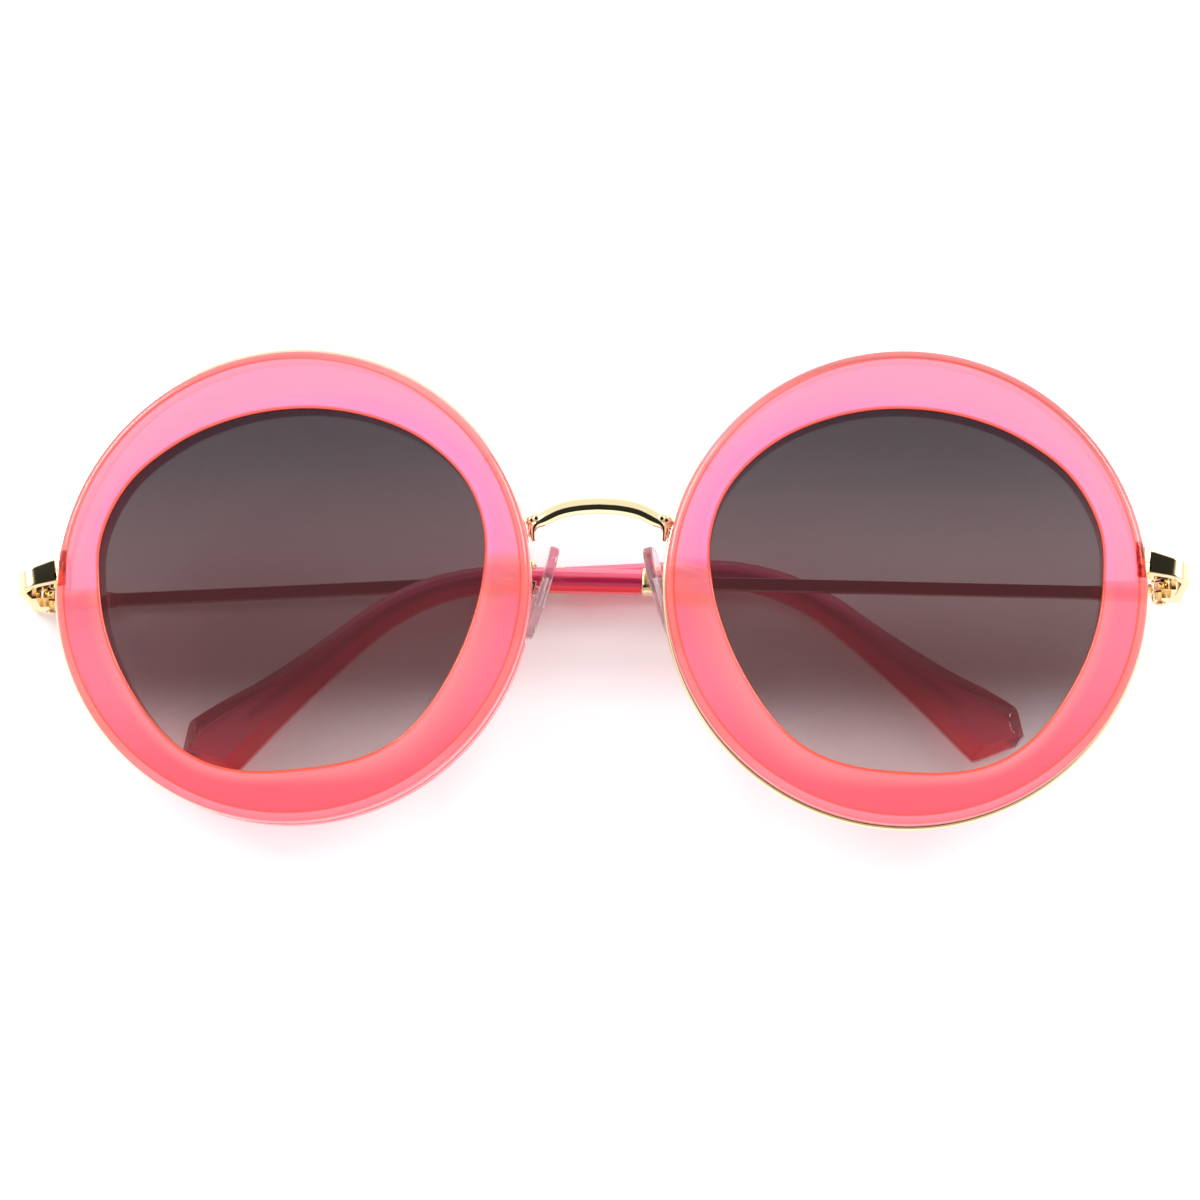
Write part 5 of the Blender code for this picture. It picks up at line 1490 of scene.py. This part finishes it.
# %% [markdown]
# The table is plain white. It takes the soft shadow, but what the camera sees of it is lifted a little towards
# white, as in a product photograph, and mirrors and clear pieces see it the same way. Between the rims a painted
# shadow makes the lift less and rosy below the brow, where the crossed tips lie, and a painted brightening makes
# it full in front of it. Far away the table turns into plain white, and from below the camera sees through it.

# %% Table
TABLE_SIZE = 3.0
PAPER = paints(dull=(246, 244, 245), bright=(250, 249, 250))
WHITE = (1, 1, 1)
LIFT = (0.58, 0.58, 0.58)
SHADE_LIFT = (0.20, 0.12, 0.12)
LIFT_STRENGTH = 0.5
BETWEEN_RIMS = (0.010, 0.022)
UNDER_BROW = (-0.0022, 0.0036, 0.0050, 0.0080)
PAINTED_LIGHT_FLOOR = (-0.0118, -0.0035)
FAR_FLOOR = (0.18, 0.50)


def table_finish(graph):
    paper = graph.blend(graph.noise(30.0, 2.0), PAPER["dull"], PAPER["bright"])
    surface = graph.node("ShaderNodeBsdfDiffuse", {"Color": paper})
    place = graph.node("ShaderNodeTexCoord", output="Object")
    sideways, upwards, _ = graph.axes(place)
    between = graph.fade(sideways.math("ABSOLUTE"), *BETWEEN_RIMS)
    # A painted shadow between the rims below the brow, and a painted brightening in front of it.
    lift = graph.blend(graph.band(upwards, *UNDER_BROW) * between, LIFT, SHADE_LIFT)
    lift = graph.blend(graph.fade(upwards, *PAINTED_LIGHT_FLOOR) * between, lift, WHITE)
    glow = graph.node("ShaderNodeEmission", {"Color": lift, "Strength": LIFT_STRENGTH})
    lifted = graph.node("ShaderNodeAddShader", {0: surface, 1: glow})
    seen = graph.ray("Camera")
    any_view = (seen + graph.ray("Glossy") + graph.ray("Transmission")).math("MINIMUM", 1.0)
    near = graph.mix(any_view, surface, lifted)
    distance = graph.node("ShaderNodeVectorMath", {0: place}, 1, operation="LENGTH")
    white = graph.node("ShaderNodeEmission", {"Color": WHITE, "Strength": 1.0})
    far = graph.mix(graph.step(distance, *FAR_FLOOR) * any_view, near, white)
    clear = graph.node("ShaderNodeBsdfTransparent", {"Color": WHITE})
    return graph.mix(graph.node("ShaderNodeNewGeometry", output="Backfacing") * seen, far, clear)


table_mesh = bpy.data.meshes.new("table")
corners = [(x * TABLE_SIZE / 2, y * TABLE_SIZE / 2, 0) for x, y in ((-1, -1), (1, -1), (1, 1), (-1, 1))]
table_mesh.from_pydata(corners, [], [(0, 1, 2, 3)])
table_mesh.materials.append(finish_of("table_finish", table_finish))
linked("table", table_mesh)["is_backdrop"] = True

# %% [markdown]
# Light comes from a white surround and two soft lamps, low behind the brow at the left and right, which throw
# the shadows towards the viewer. Straight above hangs the dark opening that the camera looks through: only
# mirrors see it, and it gives the gold its black bands. Mirrors also see a warm wall on the viewer's side.

# %% Light
OPENING_DARK = (0.02, 0.02, 0.02)
WARM_WALL = (0.62, 0.54, 0.47)
OVERHEAD = (0.76, 0.88)
VIEWER_SIDE = (0.30, 0.75)
SURROUND_STRENGTH = 0.62
SEEN_STRENGTH = 0.38
LAMP_WIDTH = 0.5
LAMP_HEIGHT = 0.35
LAMPS = {"left_lamp": ((-0.74, 0.42, 0.54), 6.4), "right_lamp": ((0.74, 0.42, 0.54), 5.8)}


def light_studio():
    world = bpy.data.worlds.new("studio")
    world.use_nodes = True
    bpy.context.scene.world = world
    graph = Graph(world.node_tree)
    _, toward_brow, upward = graph.axes(graph.node("ShaderNodeTexCoord", output="Generated"))
    seen, mirrored_ray = graph.ray("Camera"), graph.ray("Glossy")
    colour = graph.blend(graph.step(toward_brow * -1, *VIEWER_SIDE) * mirrored_ray, WHITE, WARM_WALL)
    colour = graph.blend(graph.step(upward, *OVERHEAD) * mirrored_ray, colour, OPENING_DARK)
    strength = seen * SEEN_STRENGTH + mirrored_ray * (1 - seen) * SEEN_STRENGTH + SURROUND_STRENGTH
    background = graph.node("ShaderNodeBackground", {"Color": colour, "Strength": strength})
    graph.node("ShaderNodeOutputWorld", {"Surface": background})


light_studio()
for name, (place, power) in LAMPS.items():
    data = bpy.data.lights.new(name, "AREA")
    data.shape = "RECTANGLE"
    data.size, data.size_y, data.energy = LAMP_WIDTH, LAMP_HEIGHT, power
    lamp = linked(name, data)
    lamp.location = place
    lamp.rotation_euler = (-Vector(place)).to_track_quat("-Z", "Y").to_euler()
    print(name, power, "W")
bpy.context.scene.view_settings.view_transform = "Standard"

# %% [markdown]
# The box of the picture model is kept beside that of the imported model, to see that dressing the part has not
# changed its size.

# %% Size of the picture model
picture_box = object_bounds()
sizes = {"cad": [list(map(float, corner)) for corner in CAD_BOX],
         "picture": [list(map(float, corner)) for corner in picture_box]}
for name, box in sizes.items():
    print(name, [[round(value / MM, 2) for value in corner] for corner in box])
